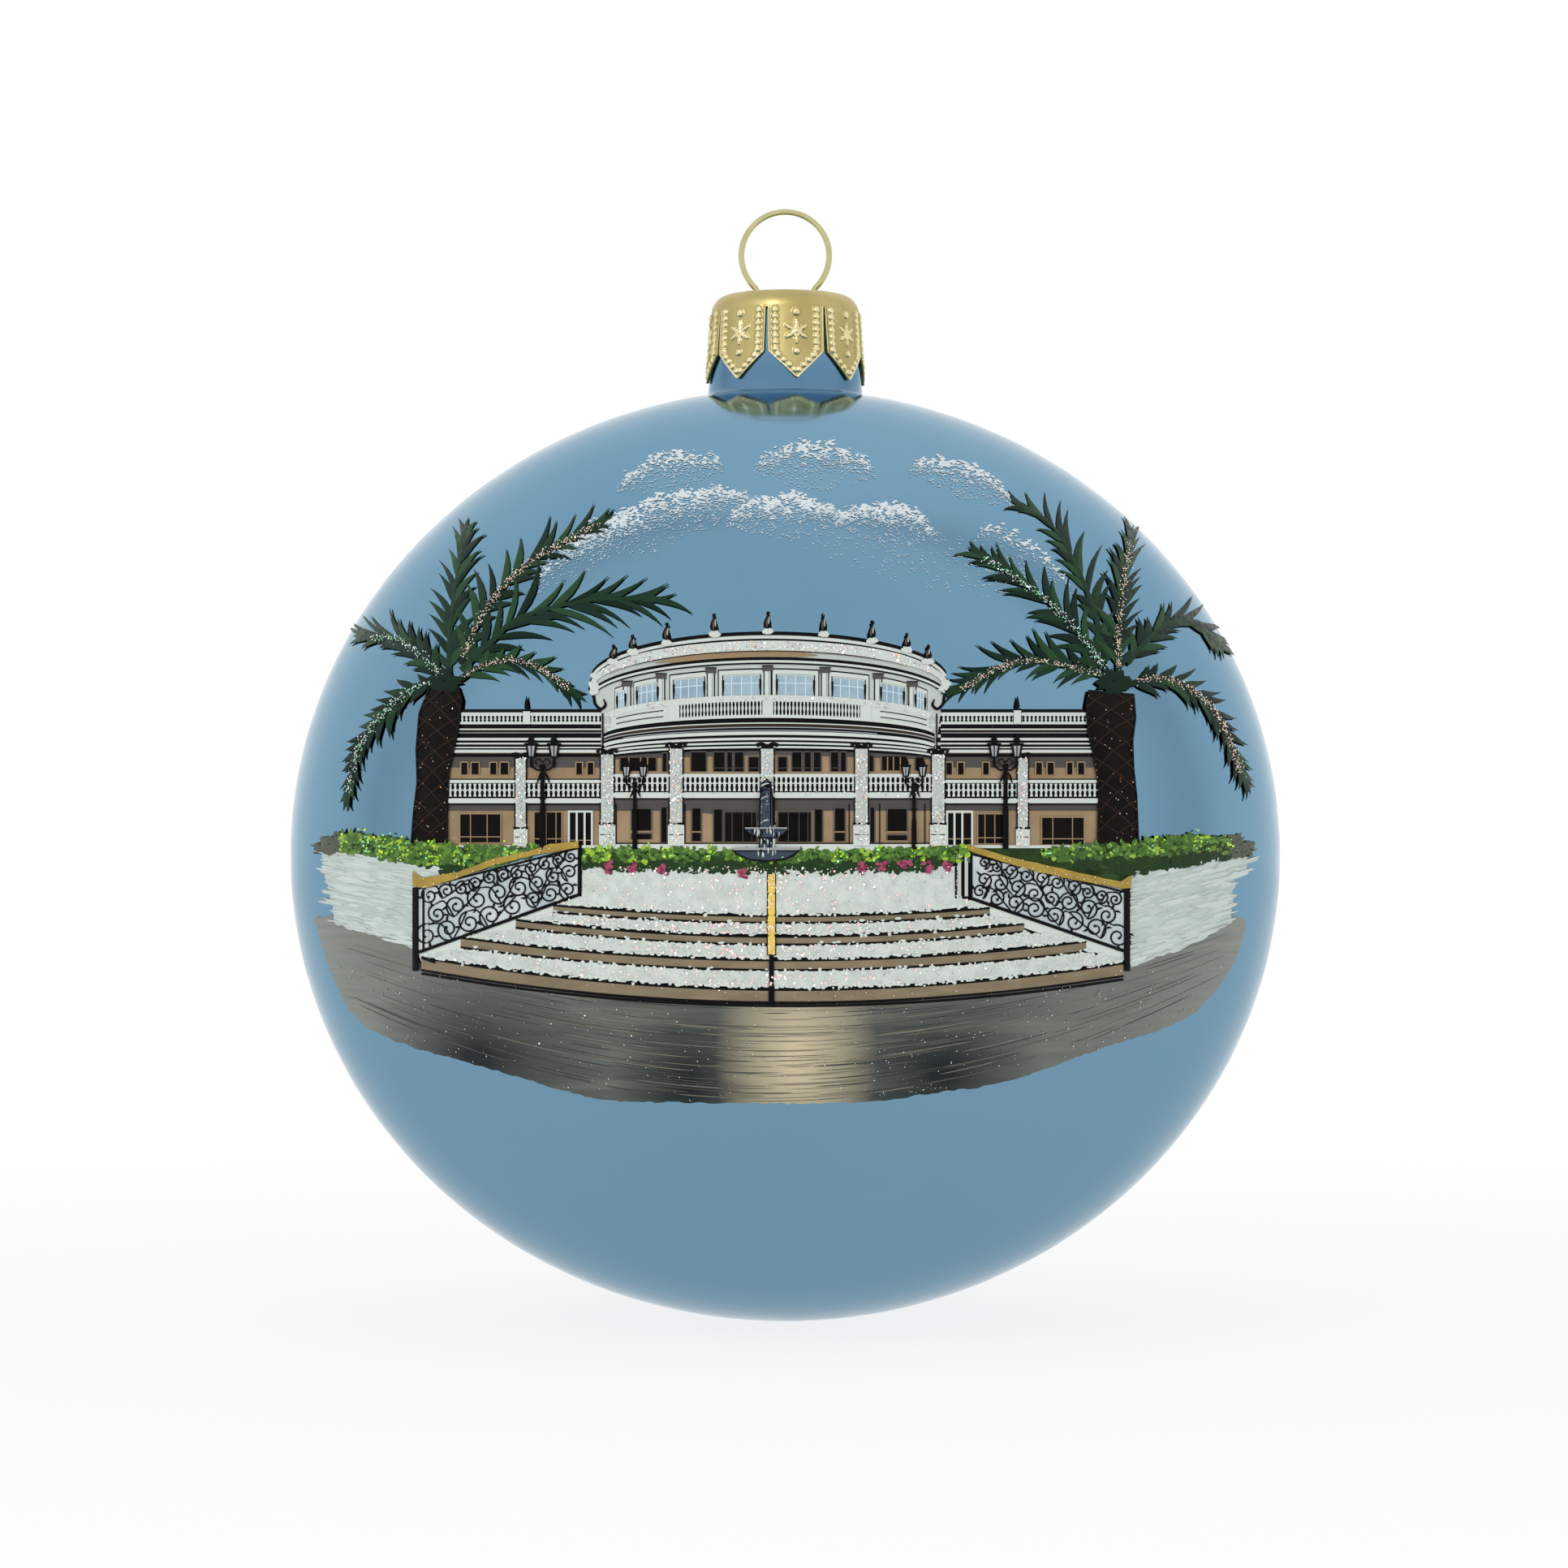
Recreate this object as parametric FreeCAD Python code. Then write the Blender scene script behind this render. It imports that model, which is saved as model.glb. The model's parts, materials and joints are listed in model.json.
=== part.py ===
import FreeCAD, Part

# Souvenir glass ball ornament: a blown, silvered and lacquered glass ball with a painted winter scene,
# a stamped eight-petal metal cap and a sprung wire hanger. Millimetres, +Z up, the painted side faces -Y.
# Everything is drawn about the centre of the ball, and written with the origin at the ball's lowest point.
# Every named piece is written to parts/NAME.step.

import math
import os

from FreeCAD import Vector

# ---- Driving dimensions -------------------------------------------------------------------------
BALL_RADIUS = 50.0          # equator, over the lacquer
BALL_HALF_HEIGHT = 47.1     # centre to pole: the ball is slightly flattened
LACQUER = 0.06              # coloured coat on the outside of the glass
GLASS_WALL = 0.8
SILVER = 0.06               # mirror coat on the inside of the glass

NECK_TOP_Z = 55.6
NECK_TOP_RADIUS = 7.22
NECK_BASE_RADIUS = 7.86     # at NECK_BASE_Z, where the neck meets the ball
NECK_BASE_Z = 46.0
NECK_BORE_RADIUS = 6.16     # in the glass, before silvering
NECK_BLEND = 0.35           # fillet where the neck meets the ball
RIM_ROUND = 0.25
COAT_TOP_Z = NECK_TOP_Z - RIM_ROUND     # lacquer and silver stop where the rim starts to round

CAP_TOP_Z = 56.8
CAP_SHEET = 0.15            # stamped metal thickness
CAP_RADIUS = 7.5            # just under the shoulder
CAP_SKIRT_RADIUS = 7.97     # at the petal tips
CAP_SHOULDER = 1.9
PETALS = 8
PETAL_TURN = 8.4            # degrees that the front petal sits round from the front
PETAL_TIP_Z = 47.8
PETAL_POINT_Z = 50.4        # where the straight petal sides turn in to the point
SLIT_TOP_Z = 54.9
SLIT_TOP_WIDTH = 0.22
SLIT_FOOT_WIDTH = 0.5
TIP_BLUNT = 0.12            # half width of the flattened petal tip
WIRE_HOLE_RADIUS = 0.6

WIRE_RADIUS = 0.3
LOOP_RADIUS = 4.46          # centreline
LOOP_CENTRE_Z = 60.9
LOOP_END_ANGLE = 45.0       # from the bottom of the loop, where the wire leaves the circle
PINCH_RADIUS = 1.0          # bend from the loop into the leg, in the cap's hole
LEG_SPLAY = 16.0            # degrees outward, from the pinch to the knee
KNEE_RADIUS = 1.5
KNEE_CLEARANCE = 0.12       # knee to the silvered bore
TOE_IN = 8.0                # degrees inward, below the knee
TOE_LENGTH = 8.0

PAINT = 0.10                # enamel film
THICK_PAINT = 0.16          # palm fronds, rails and other loaded brush strokes
SNOW = 0.30                 # snow paste
GLITTER = 0.36              # glitter bound in clear glue, heaped on the hedges

# The scene is laid out as a flat picture, in millimetres right of and above the ball's centre, on the
# plane through that centre, and is cast onto the ball from a viewer this far in front of it.
VIEWER_DISTANCE = 460.0
SHELL_TOP_RADIUS = 10.0     # no paint comes nearer the axis than this on top of the ball
PAINT_GAP = 0.002           # between the lacquer and the paint, so that no two pieces share a face
OUTLINE_STEP = 2.5          # longest straight stretch of a cast outline
CURVE_STEPS = 12

# Each street lamp as u, the height of its top and the half width of its head.
STREET_LAMPS = [(-24.4, 12.3, 1.7), (-15.2, 9.7, 1.3), (13.0, 9.7, 1.3), (22.3, 12.3, 1.7)]
# Each of the nine roof figures as u and the height of its foot.
STATUES = [(-17.5, 19.8), (-15.5, 20.9), (-12.1, 21.8), (-7.2, 22.7), (-1.8, 22.95),
           (3.9, 22.7), (8.8, 22.0), (12.4, 21.1), (14.5, 19.8)]
# Each cloud as the centre's u and v, half length, half height and tilt.
CLOUDS = [(-11.8, 39.2, 4.6, 1.6, 14), (3.5, 40.1, 5.4, 1.7, 0), (17.9, 38.4, 4.8, 1.7, -24),
          (-9.7, 35.1, 5.6, 2.1, 12), (0.0, 34.5, 5.2, 2.1, 0), (10.6, 33.6, 5.2, 2.0, -8),
          (-19.4, 31.0, 5.2, 1.8, 28), (24.8, 32.0, 5.0, 2.0, -38)]
# Each palm frond as its base, the point it bends towards and its tip.
LEFT_FRONDS = [
    ((-34.6, 18.4), (-34.0, 25.9), (-31.0, 33.9)), ((-34.0, 19.7), (-28.3, 29.2), (-15.8, 34.9)),
    ((-33.6, 19.7), (-26.2, 27.1), (-10.7, 26.2)), ((-33.8, 18.0), (-26.2, 21.7), (-19.9, 13.9)),
    ((-35.7, 18.9), (-38.2, 23.4), (-42.5, 23.2)), ((-36.1, 17.6), (-41.9, 15.6), (-44.8, 6.7)),
]
RIGHT_FRONDS = [
    ((33.6, 18.4), (30.7, 25.9), (26.6, 35.6)), ((33.2, 18.0), (26.6, 25.9), (17.4, 30.0)),
    ((32.5, 17.4), (25.4, 20.9), (17.9, 17.0)), ((34.2, 18.0), (35.3, 24.2), (35.5, 32.9)),
    ((35.0, 19.3), (39.0, 25.5), (43.4, 21.9)), ((35.7, 17.8), (43.1, 17.6), (47.4, 7.4)),
]
FROND_WIDTH = 3.4
SMALLEST_CHIP = 0.06        # cubic mm; scraps of film left between overlapping areas are dropped
# Each stair riser as the left end, the middle and the right end of its top edge, and its height.
RISERS = [
    ((-23.6, -5.1), (-1.8, -6.2), (20.8, -5.4), 0.7),
    ((-27.4, -6.6), (-1.8, -8.3), (24.3, -7.0), 0.8),
    ((-33.0, -8.4), (-1.8, -10.7), (30.6, -8.8), 1.0),
    ((-37.0, -10.4), (-1.8, -13.7), (34.4, -11.0), 1.3),
]

os.makedirs("parts", exist_ok=True)


def write(name, shape):
    """One STEP per named piece, lifted so that the ball stands on the origin."""
    lifted = shape.copy()
    lifted.translate(Vector(0, 0, BALL_HALF_HEIGHT))
    lifted.exportStep(f"parts/{name}.step")


# ---- Glass ball and its coats -------------------------------------------------------------------
def turned(edges):
    """The solid swept by a closed outline in the XZ plane turning about the Z axis."""
    outline = Part.Wire(Part.__sortEdges__(edges))
    return Part.Face(outline).revolve(Vector(0, 0, 0), Vector(0, 0, 1), 360)


def line(x0, z0, x1, z1):
    return Part.makeLine(Vector(x0, 0, z0), Vector(x1, 0, z1))


def corner_arc(start, middle, end):
    """An arc in the XZ plane through three (x, z) points."""
    return Part.Arc(*[Vector(x, 0, z) for x, z in (start, middle, end)]).toShape()


def ball_height(radius, inset):
    """How high the ball's upper half stands at this distance from the axis."""
    return (BALL_HALF_HEIGHT - inset) * math.sqrt(1 - (radius / (BALL_RADIUS - inset)) ** 2)


def neck_radius(z, inset):
    """Outside radius of the neck, which narrows evenly from its base to its rim."""
    rise = (z - NECK_BASE_Z) / (NECK_TOP_Z - NECK_BASE_Z)
    return NECK_BASE_RADIUS + (NECK_TOP_RADIUS - NECK_BASE_RADIUS) * rise - inset


def ball_arc(inset, top_radius):
    """The ball's profile from its bottom pole up to where its upper half is this far from the axis."""
    radius, half_height = BALL_RADIUS - inset, BALL_HALF_HEIGHT - inset
    ellipse = Part.Ellipse(Vector(radius, 0, 0), Vector(0, 0, half_height), Vector(0, 0, 0))
    arc = ellipse.toBSpline(-math.pi / 2, math.acos(top_radius / radius))
    arc.setPole(1, Vector(0, 0, -half_height))
    return arc.toShape()


def neck_foot(inset):
    """The (radius, z) where the neck's line would run into the ball."""
    radius = NECK_BASE_RADIUS - inset
    for _ in range(5):
        radius = neck_radius(ball_height(radius, inset), inset)
    return radius, ball_height(radius, inset)


def outside_profile(inset):
    """Ball, blend and neck at this depth below the lacquer, from the pole to just under the rim."""
    radius, z = neck_foot(inset)
    on_ball = (radius + NECK_BLEND, ball_height(radius + NECK_BLEND, inset))
    on_neck = (neck_radius(z + NECK_BLEND, inset), z + NECK_BLEND)
    sag = NECK_BLEND * (math.sqrt(2) - 1) / 2
    return [
        ball_arc(inset, on_ball[0]),
        corner_arc(on_ball, (radius + sag, z + sag), on_neck),
        line(*on_neck, neck_radius(COAT_TOP_Z, inset), COAT_TOP_Z),
    ]


def inside_profile(inset, bore_radius, top_z):
    """The hollow's profile: inside of the ball, then straight up the neck's bore."""
    foot_z = ball_height(bore_radius, inset)
    return [ball_arc(inset, bore_radius), line(bore_radius, foot_z, bore_radius, top_z)]


def pole_gap(outer_inset, inner_inset):
    """The short stretch of the axis through a wall at the bottom pole."""
    return line(0, outer_inset - BALL_HALF_HEIGHT, 0, inner_inset - BALL_HALF_HEIGHT)


def glass_ball():
    rim_radius = neck_radius(COAT_TOP_Z, LACQUER)
    flat_edge = rim_radius - RIM_ROUND
    bulge = RIM_ROUND * math.sqrt(0.5)
    wall = LACQUER + GLASS_WALL
    return turned(outside_profile(LACQUER) + [
        corner_arc((rim_radius, COAT_TOP_Z), (flat_edge + bulge, COAT_TOP_Z + bulge),
                   (flat_edge, NECK_TOP_Z)),
        line(flat_edge, NECK_TOP_Z, NECK_BORE_RADIUS, NECK_TOP_Z),
        *inside_profile(wall, NECK_BORE_RADIUS, NECK_TOP_Z),
        pole_gap(LACQUER, wall),
    ])


def lacquer_coat():
    top = line(neck_radius(COAT_TOP_Z, 0), COAT_TOP_Z, neck_radius(COAT_TOP_Z, LACQUER), COAT_TOP_Z)
    return turned(outside_profile(0) + [top] + outside_profile(LACQUER) + [pole_gap(0, LACQUER)])


def silver_lining():
    wall = LACQUER + GLASS_WALL
    bore_radius = NECK_BORE_RADIUS - SILVER
    return turned([
        *inside_profile(wall, NECK_BORE_RADIUS, COAT_TOP_Z),
        *inside_profile(wall + SILVER, bore_radius, COAT_TOP_Z),
        line(NECK_BORE_RADIUS, COAT_TOP_Z, bore_radius, COAT_TOP_Z),
        pole_gap(wall, wall + SILVER),
    ])


# ---- Stamped cap --------------------------------------------------------------------------------
def cap_form(inset):
    """The cap's outer form as a solid cup: flat top, round shoulder, flaring skirt."""
    top = CAP_TOP_Z - inset
    shoulder = CAP_SHOULDER - inset
    side = CAP_RADIUS - inset
    corner = shoulder * (1 - math.sqrt(0.5))
    foot = CAP_SKIRT_RADIUS - inset
    return turned([
        line(0, top, side - shoulder, top),
        corner_arc((side - shoulder, top), (side - corner, top - corner), (side, top - shoulder)),
        line(side, top - shoulder, foot, PETAL_TIP_Z),
        line(foot, PETAL_TIP_Z, 0, PETAL_TIP_Z),
        line(0, PETAL_TIP_Z, 0, top),
    ])


def petal_gap():
    """The tapered slit between two petals, opening into the V between their points, as a radial cutter."""
    half_pitch = CAP_SKIRT_RADIUS * math.sin(math.pi / PETALS) - TIP_BLUNT
    outline = [
        (-SLIT_TOP_WIDTH / 2, SLIT_TOP_Z), (-SLIT_FOOT_WIDTH / 2, PETAL_POINT_Z), (-half_pitch, PETAL_TIP_Z),
        (-half_pitch, PETAL_TIP_Z - 1), (half_pitch, PETAL_TIP_Z - 1), (half_pitch, PETAL_TIP_Z),
        (SLIT_FOOT_WIDTH / 2, PETAL_POINT_Z), (SLIT_TOP_WIDTH / 2, SLIT_TOP_Z),
    ]
    corners = [Vector(x, 0, z) for x, z in outline]
    return Part.Face(Part.makePolygon(corners + corners[:1])).extrude(Vector(0, -2 * CAP_RADIUS, 0))


def cap():
    shell = cap_form(0).cut(cap_form(CAP_SHEET))
    pitch = 360 / PETALS
    for i in range(PETALS):
        gap = petal_gap()
        gap.rotate(Vector(0, 0, 0), Vector(0, 0, 1), PETAL_TURN + pitch * (i + 0.5))
        shell = shell.cut(gap)
    for side in (-1, 1):
        through_top = Vector(side * hole_offset(), 0, CAP_TOP_Z - 1)
        shell = shell.cut(Part.makeCylinder(WIRE_HOLE_RADIUS, 3, through_top))
    return shell


# ---- Sprung wire hanger -------------------------------------------------------------------------
class WirePath:
    """A planar path in XZ made of tangent lines and arcs, traced like a pen with a heading."""

    def __init__(self, x, z, heading):
        self.x, self.z, self.heading = x, z, heading
        self.edges = []

    def line(self, length):
        start = Vector(self.x, 0, self.z)
        self.x += length * math.cos(self.heading)
        self.z += length * math.sin(self.heading)
        self.edges.append(Part.makeLine(start, Vector(self.x, 0, self.z)))

    def arc(self, radius, turn):
        """Turns by so many degrees, positive to the left."""
        side = math.copysign(1, turn)
        centre_x = self.x - side * radius * math.sin(self.heading)
        centre_z = self.z + side * radius * math.cos(self.heading)
        points = []
        for share in (0, 0.5, 1):
            heading = self.heading + math.radians(turn) * share
            points.append(Vector(centre_x + side * radius * math.sin(heading), 0,
                                 centre_z - side * radius * math.cos(heading)))
        self.edges.append(Part.Arc(*points).toShape())
        self.heading += math.radians(turn)
        self.x, self.z = points[-1].x, points[-1].z


def pinch_centre():
    """Centre of the bend where the wire turns out of the loop, on the right side."""
    reach = LOOP_RADIUS + PINCH_RADIUS
    angle = math.radians(LOOP_END_ANGLE)
    return reach * math.sin(angle), LOOP_CENTRE_Z - reach * math.cos(angle)


def hole_offset():
    """Distance from the axis at which the wire passes the cap's top sheet."""
    x, z = pinch_centre()
    return x - math.sqrt(PINCH_RADIUS ** 2 - (CAP_TOP_Z - CAP_SHEET / 2 - z) ** 2)


def half_hanger():
    """Half of the hanger's centreline: from the loop's top, round its right side and down the right leg."""
    path = WirePath(0, LOOP_CENTRE_Z + LOOP_RADIUS, 0)
    path.arc(LOOP_RADIUS, LOOP_END_ANGLE - 180)
    path.arc(PINCH_RADIUS, LOOP_END_ANGLE + LEG_SPLAY)
    splay = math.radians(LEG_SPLAY)
    knee_reach = NECK_BORE_RADIUS - SILVER - WIRE_RADIUS - KNEE_CLEARANCE
    path.line((knee_reach - KNEE_RADIUS * (1 - math.cos(splay)) - path.x) / math.sin(splay))
    path.arc(KNEE_RADIUS, -(LEG_SPLAY + TOE_IN))
    path.line(TOE_LENGTH)
    return path


def wire_hanger():
    path = half_hanger()
    right = Part.Wire(path.edges)
    toe = Vector(path.x, 0, path.z)
    along = Vector(math.cos(path.heading), 0, math.sin(path.heading))
    section = Part.Wire(Part.makeCircle(WIRE_RADIUS, toe, along))
    left = right.mirror(Vector(0, 0, 0), Vector(1, 0, 0))
    whole = Part.Wire(Part.__sortEdges__(left.Edges + right.Edges))
    return whole.makePipeShell([section], True, True)


# ---- Painted scene ------------------------------------------------------------------------------
def cast(u, v):
    """The (x, z) on the lacquered ball that a viewer sees at (u, v) of the flat picture."""
    across = (VIEWER_DISTANCE / BALL_RADIUS) ** 2
    bend = (u / BALL_RADIUS) ** 2 + across + (v / BALL_HALF_HEIGHT) ** 2
    share = (across - math.sqrt(across ** 2 - bend * (across - 1))) / bend
    return u * share, v * share


def region(points):
    """A flat face in the XZ plane whose outline is these picture points, cast onto the ball."""
    corners = []
    for (u0, v0), (u1, v1) in zip(points, points[1:] + points[:1]):
        steps = max(1, math.ceil(math.hypot(u1 - u0, v1 - v0) / OUTLINE_STEP))
        for i in range(steps):
            x, z = cast(u0 + (u1 - u0) * i / steps, v0 + (v1 - v0) * i / steps)
            corners.append(Vector(x, 0, z))
    return Part.Face(Part.makePolygon(corners + corners[:1]))


def rectangle(left, bottom, right, top):
    return region([(left, bottom), (right, bottom), (right, top), (left, top)])


def oval(u, v, half_length, half_height, tilt):
    points = []
    for i in range(2 * CURVE_STEPS):
        turn = math.pi * i / CURVE_STEPS
        a, b = half_length * math.cos(turn), half_height * math.sin(turn)
        c, s = math.cos(math.radians(tilt)), math.sin(math.radians(tilt))
        points.append((u + a * c - b * s, v + a * s + b * c))
    return region(points)


def curve_through(first, middle, last):
    """Points along the parabola through three points, from the first to the last."""
    points = []
    for i in range(CURVE_STEPS + 1):
        u = first[0] + (last[0] - first[0]) * i / CURVE_STEPS
        v = 0
        for one, two, three in ((first, middle, last), (middle, first, last), (last, first, middle)):
            v += one[1] * (u - two[0]) * (u - three[0]) / ((one[0] - two[0]) * (one[0] - three[0]))
        points.append((u, v))
    return points


def band(first, middle, last, height):
    """A strip hanging below a parabola."""
    top = curve_through(first, middle, last)
    return region(top + [(u, v - height) for u, v in reversed(top)])


def frond(base, control, tip):
    """A leaf-shaped outline along a quadratic curve, widest in its middle."""
    right_side, left_side = [], []
    for i in range(1, CURVE_STEPS):
        t = i / CURVE_STEPS
        u = (1 - t) ** 2 * base[0] + 2 * t * (1 - t) * control[0] + t * t * tip[0]
        v = (1 - t) ** 2 * base[1] + 2 * t * (1 - t) * control[1] + t * t * tip[1]
        du = (1 - t) * (control[0] - base[0]) + t * (tip[0] - control[0])
        dv = (1 - t) * (control[1] - base[1]) + t * (tip[1] - control[1])
        half = FROND_WIDTH / 2 * math.sin(math.pi * t ** 0.8) / math.hypot(du, dv)
        right_side.append((u + dv * half, v - du * half))
        left_side.append((u - dv * half, v + du * half))
    return region([base] + right_side + [tip] + left_side[::-1])


def joined(faces):
    return faces[0].multiFuse(faces[1:]).removeSplitter() if len(faces) > 1 else faces[0]


def street_lamp(u, top, half_width):
    """Slim post with a spreading two-lantern head."""
    foot, post = 0.5, 0.32
    head = top - 3.2
    return region([
        (u - post, foot), (u + post, foot), (u + post, head), (u + half_width, head + 1.2),
        (u + half_width, top), (u - half_width, top), (u - half_width, head + 1.2), (u - post, head)])


def statue(u, foot):
    """Small robed figure on the roof line, told only by its outline."""
    return region([(u - 0.42, foot), (u + 0.42, foot), (u + 0.34, foot + 1.2), (u + 0.16, foot + 1.9),
                   (u - 0.16, foot + 1.9), (u - 0.34, foot + 1.2)])


def picture():
    """Every painted area from back to front: name, flat face and film thickness."""
    stairs = region([(-20.8, -1.5), (17.6, -1.5), (17.6, -4.1), (34.3, -10.6), (34.4, -12.2)]
                    + curve_through((34.4, -12.2), (-1.8, -15.2), (-37.0, -11.7))[1:]
                    + [(-37.0, -10.1), (-20.8, -4.5)])
    risers = joined([band(*r) for r in RISERS])
    return [
        ("cloud_paint", joined([oval(*c) for c in CLOUDS]), SNOW),
        ("road_paint", region([
            (-48.0, -6.4), (-42.7, -8.0), (-37.0, -11.0), (-1.8, -14.0), (34.7, -11.0), (41.4, -9.0),
            (46.2, -6.5), (46.6, -8.0), (44.7, -12.5), (40.6, -16.7), (33.2, -19.3), (23.3, -22.8),
            (15.0, -24.2), (6.0, -25.2), (-13.8, -25.1), (-20.4, -24.5), (-30.3, -21.6), (-40.2, -18.7),
            (-44.8, -15.0)]), PAINT),
        ("mansion_left_wing_paint", rectangle(-34.4, 0.6, -18.8, 14.7), PAINT),
        ("mansion_right_wing_paint", rectangle(15.9, 0.6, 31.8, 14.9), PAINT),
        ("mansion_lower_storeys_paint", rectangle(-18.8, 0.3, 15.9, 12.6), PAINT),
        ("mansion_drum_paint", region(
            curve_through((-19.2, 18.6), (-1.6, 23.0), (16.4, 18.2))
            + [(15.9, 12.6), (-18.8, 12.6)]), PAINT),
        ("roof_statue_paint", joined([statue(*s) for s in STATUES]), PAINT),
        ("street_lamp_paint", joined([street_lamp(*s) for s in STREET_LAMPS]), THICK_PAINT),
        ("left_palm_trunk_paint", region([
            (-36.2, 17.0), (-33.4, 17.0), (-33.1, 14.3), (-34.0, 7.7), (-34.6, 0.8), (-38.0, 0.8),
            (-37.6, 7.7), (-37.5, 13.5)]), THICK_PAINT),
        ("right_palm_trunk_paint", region([
            (30.7, 16.6), (35.3, 16.4), (35.6, 14.3), (35.3, 9.4), (35.8, 4.4), (35.7, 0.8), (31.7, 0.8),
            (31.5, 7.7), (30.9, 13.0)]), THICK_PAINT),
        ("left_palm_crown_paint", joined([frond(*f) for f in LEFT_FRONDS]), THICK_PAINT),
        ("right_palm_crown_paint", joined([frond(*f) for f in RIGHT_FRONDS]), THICK_PAINT),
        ("step_snow", stairs, SNOW),
        ("step_riser_paint", risers, PAINT),
        ("left_planter_wall_paint", region([
            (-47.2, 0.3), (-43.5, -0.2), (-37.8, -1.6), (-37.8, -9.5), (-41.1, -8.3), (-45.8, -7.1)]), SNOW),
        ("right_planter_wall_paint", region([
            (35.1, -2.2), (40.6, -1.5), (46.9, -0.4), (47.0, -1.8), (45.7, -2.2), (45.2, -6.8),
            (40.6, -9.4), (35.1, -11.4)]), SNOW),
        ("flower_bed_glitter", region([
            (-20.7, 0.6), (-13.8, 0.8), (-2.3, 0.3), (10.9, 0.6), (18.8, 1.0), (18.8, -0.5), (13.4, -1.9),
            (-0.6, -2.1), (-15.5, -1.7), (-20.7, -1.4)]), GLITTER),
        ("left_hedge_glitter", region([
            (-47.9, 0.3), (-47.6, 1.4), (-45.2, 2.2), (-41.1, 1.8), (-33.6, 0.9), (-27.0, 0.8),
            (-22.1, 1.0), (-29.0, -1.0), (-34.0, -2.0), (-38.6, -0.7), (-43.5, 0.0)]), GLITTER),
        ("right_hedge_glitter", region([
            (25.8, -0.4), (26.8, 0.7), (35.7, 1.3), (41.4, 2.1), (45.6, 1.9), (47.5, 1.1), (47.4, -0.1),
            (43.9, -0.7), (39.0, -1.4), (34.8, -2.0), (29.9, -1.3)]), GLITTER),
        ("fountain_paint", region([
            (-5.2, 0.3), (-4.2, 2.2), (-2.6, 3.0), (-2.4, 7.2), (-1.3, 7.2), (-1.1, 3.0), (0.3, 2.2),
            (1.4, 0.3), (0.2, -0.9), (-3.9, -0.9)]), THICK_PAINT),
        ("left_railing_paint", region([
            (-37.8, -1.5), (-36.9, -3.0), (-20.8, 1.1), (-20.8, -4.5), (-36.9, -10.1), (-36.9, -11.8),
            (-37.8, -11.3)]), THICK_PAINT),
        ("right_railing_paint", region([
            (18.8, 0.9), (34.4, -2.7), (35.1, -1.9), (35.1, -11.8), (34.2, -11.8), (34.2, -10.4),
            (17.5, -4.1), (17.5, -0.9), (18.8, -0.5)]), THICK_PAINT),
        ("centre_handrail_paint", rectangle(-1.85, -15.4, -0.95, -1.9), THICK_PAINT),
    ]


def paint_shell(thickness):
    """A coat this thick all over the lacquered ball, a hair clear of it and open at the top."""
    insets = (-thickness, -PAINT_GAP)
    outer_top, inner_top = [(SHELL_TOP_RADIUS, ball_height(SHELL_TOP_RADIUS, inset)) for inset in insets]
    return turned([
        *[ball_arc(inset, SHELL_TOP_RADIUS) for inset in insets],
        line(*outer_top, *inner_top),
        pole_gap(*insets),
    ])


def paint_films():
    """Each painted area as a thin solid on the lacquer. Of two that overlap, the nearer is kept whole."""
    areas = picture()
    films = {}
    for i, (name, flat, thickness) in enumerate(areas):
        for _, nearer, _ in areas[i + 1:]:
            if flat.BoundBox.intersect(nearer.BoundBox):
                flat = flat.cut(nearer)
        shell = paint_shell(thickness)
        solids = []
        for face in flat.Faces:
            solids += shell.common(face.extrude(Vector(0, -2 * BALL_RADIUS, 0))).Solids
        films[name] = Part.makeCompound([solid for solid in solids if solid.Volume > SMALLEST_CHIP])
    return films


def build():
    write("glass_ball", glass_ball())
    write("blue_lacquer_coat", lacquer_coat())
    write("silver_lining", silver_lining())
    write("cap", cap())
    write("wire_hanger", wire_hanger())
    for name, film in paint_films().items():
        write(name, film)


build()
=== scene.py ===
# The looks of the souvenir glass ball: satin blue lacquer, a town scene brushed and glittered on its front,
# an embossed gold cap and a sprung wire. The painted scene is drawn flat, in millimetres right of (u) and
# above (v) the ball's centre, and cast onto the ball from a viewer in front of it.

import json
import math
import random

import bpy
import numpy as np
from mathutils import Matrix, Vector, geometry, noise

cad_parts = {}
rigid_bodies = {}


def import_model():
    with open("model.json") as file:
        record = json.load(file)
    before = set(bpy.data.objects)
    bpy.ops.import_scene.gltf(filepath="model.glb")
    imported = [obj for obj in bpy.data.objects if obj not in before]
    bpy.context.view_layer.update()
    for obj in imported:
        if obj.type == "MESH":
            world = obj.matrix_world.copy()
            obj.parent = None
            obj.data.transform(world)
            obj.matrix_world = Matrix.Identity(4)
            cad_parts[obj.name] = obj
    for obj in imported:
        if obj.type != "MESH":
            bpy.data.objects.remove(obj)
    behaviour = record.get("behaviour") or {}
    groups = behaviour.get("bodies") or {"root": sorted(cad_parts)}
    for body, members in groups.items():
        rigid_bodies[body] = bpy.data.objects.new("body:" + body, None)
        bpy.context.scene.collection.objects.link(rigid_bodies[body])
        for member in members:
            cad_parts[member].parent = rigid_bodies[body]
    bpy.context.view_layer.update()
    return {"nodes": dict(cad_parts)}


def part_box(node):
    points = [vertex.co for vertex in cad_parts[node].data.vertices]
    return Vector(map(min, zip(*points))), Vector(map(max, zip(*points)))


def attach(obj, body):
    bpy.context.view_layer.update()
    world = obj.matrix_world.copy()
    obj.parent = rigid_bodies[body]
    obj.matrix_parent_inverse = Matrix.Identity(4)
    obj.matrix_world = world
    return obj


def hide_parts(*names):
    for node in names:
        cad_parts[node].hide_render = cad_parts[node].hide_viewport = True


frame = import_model()

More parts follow.
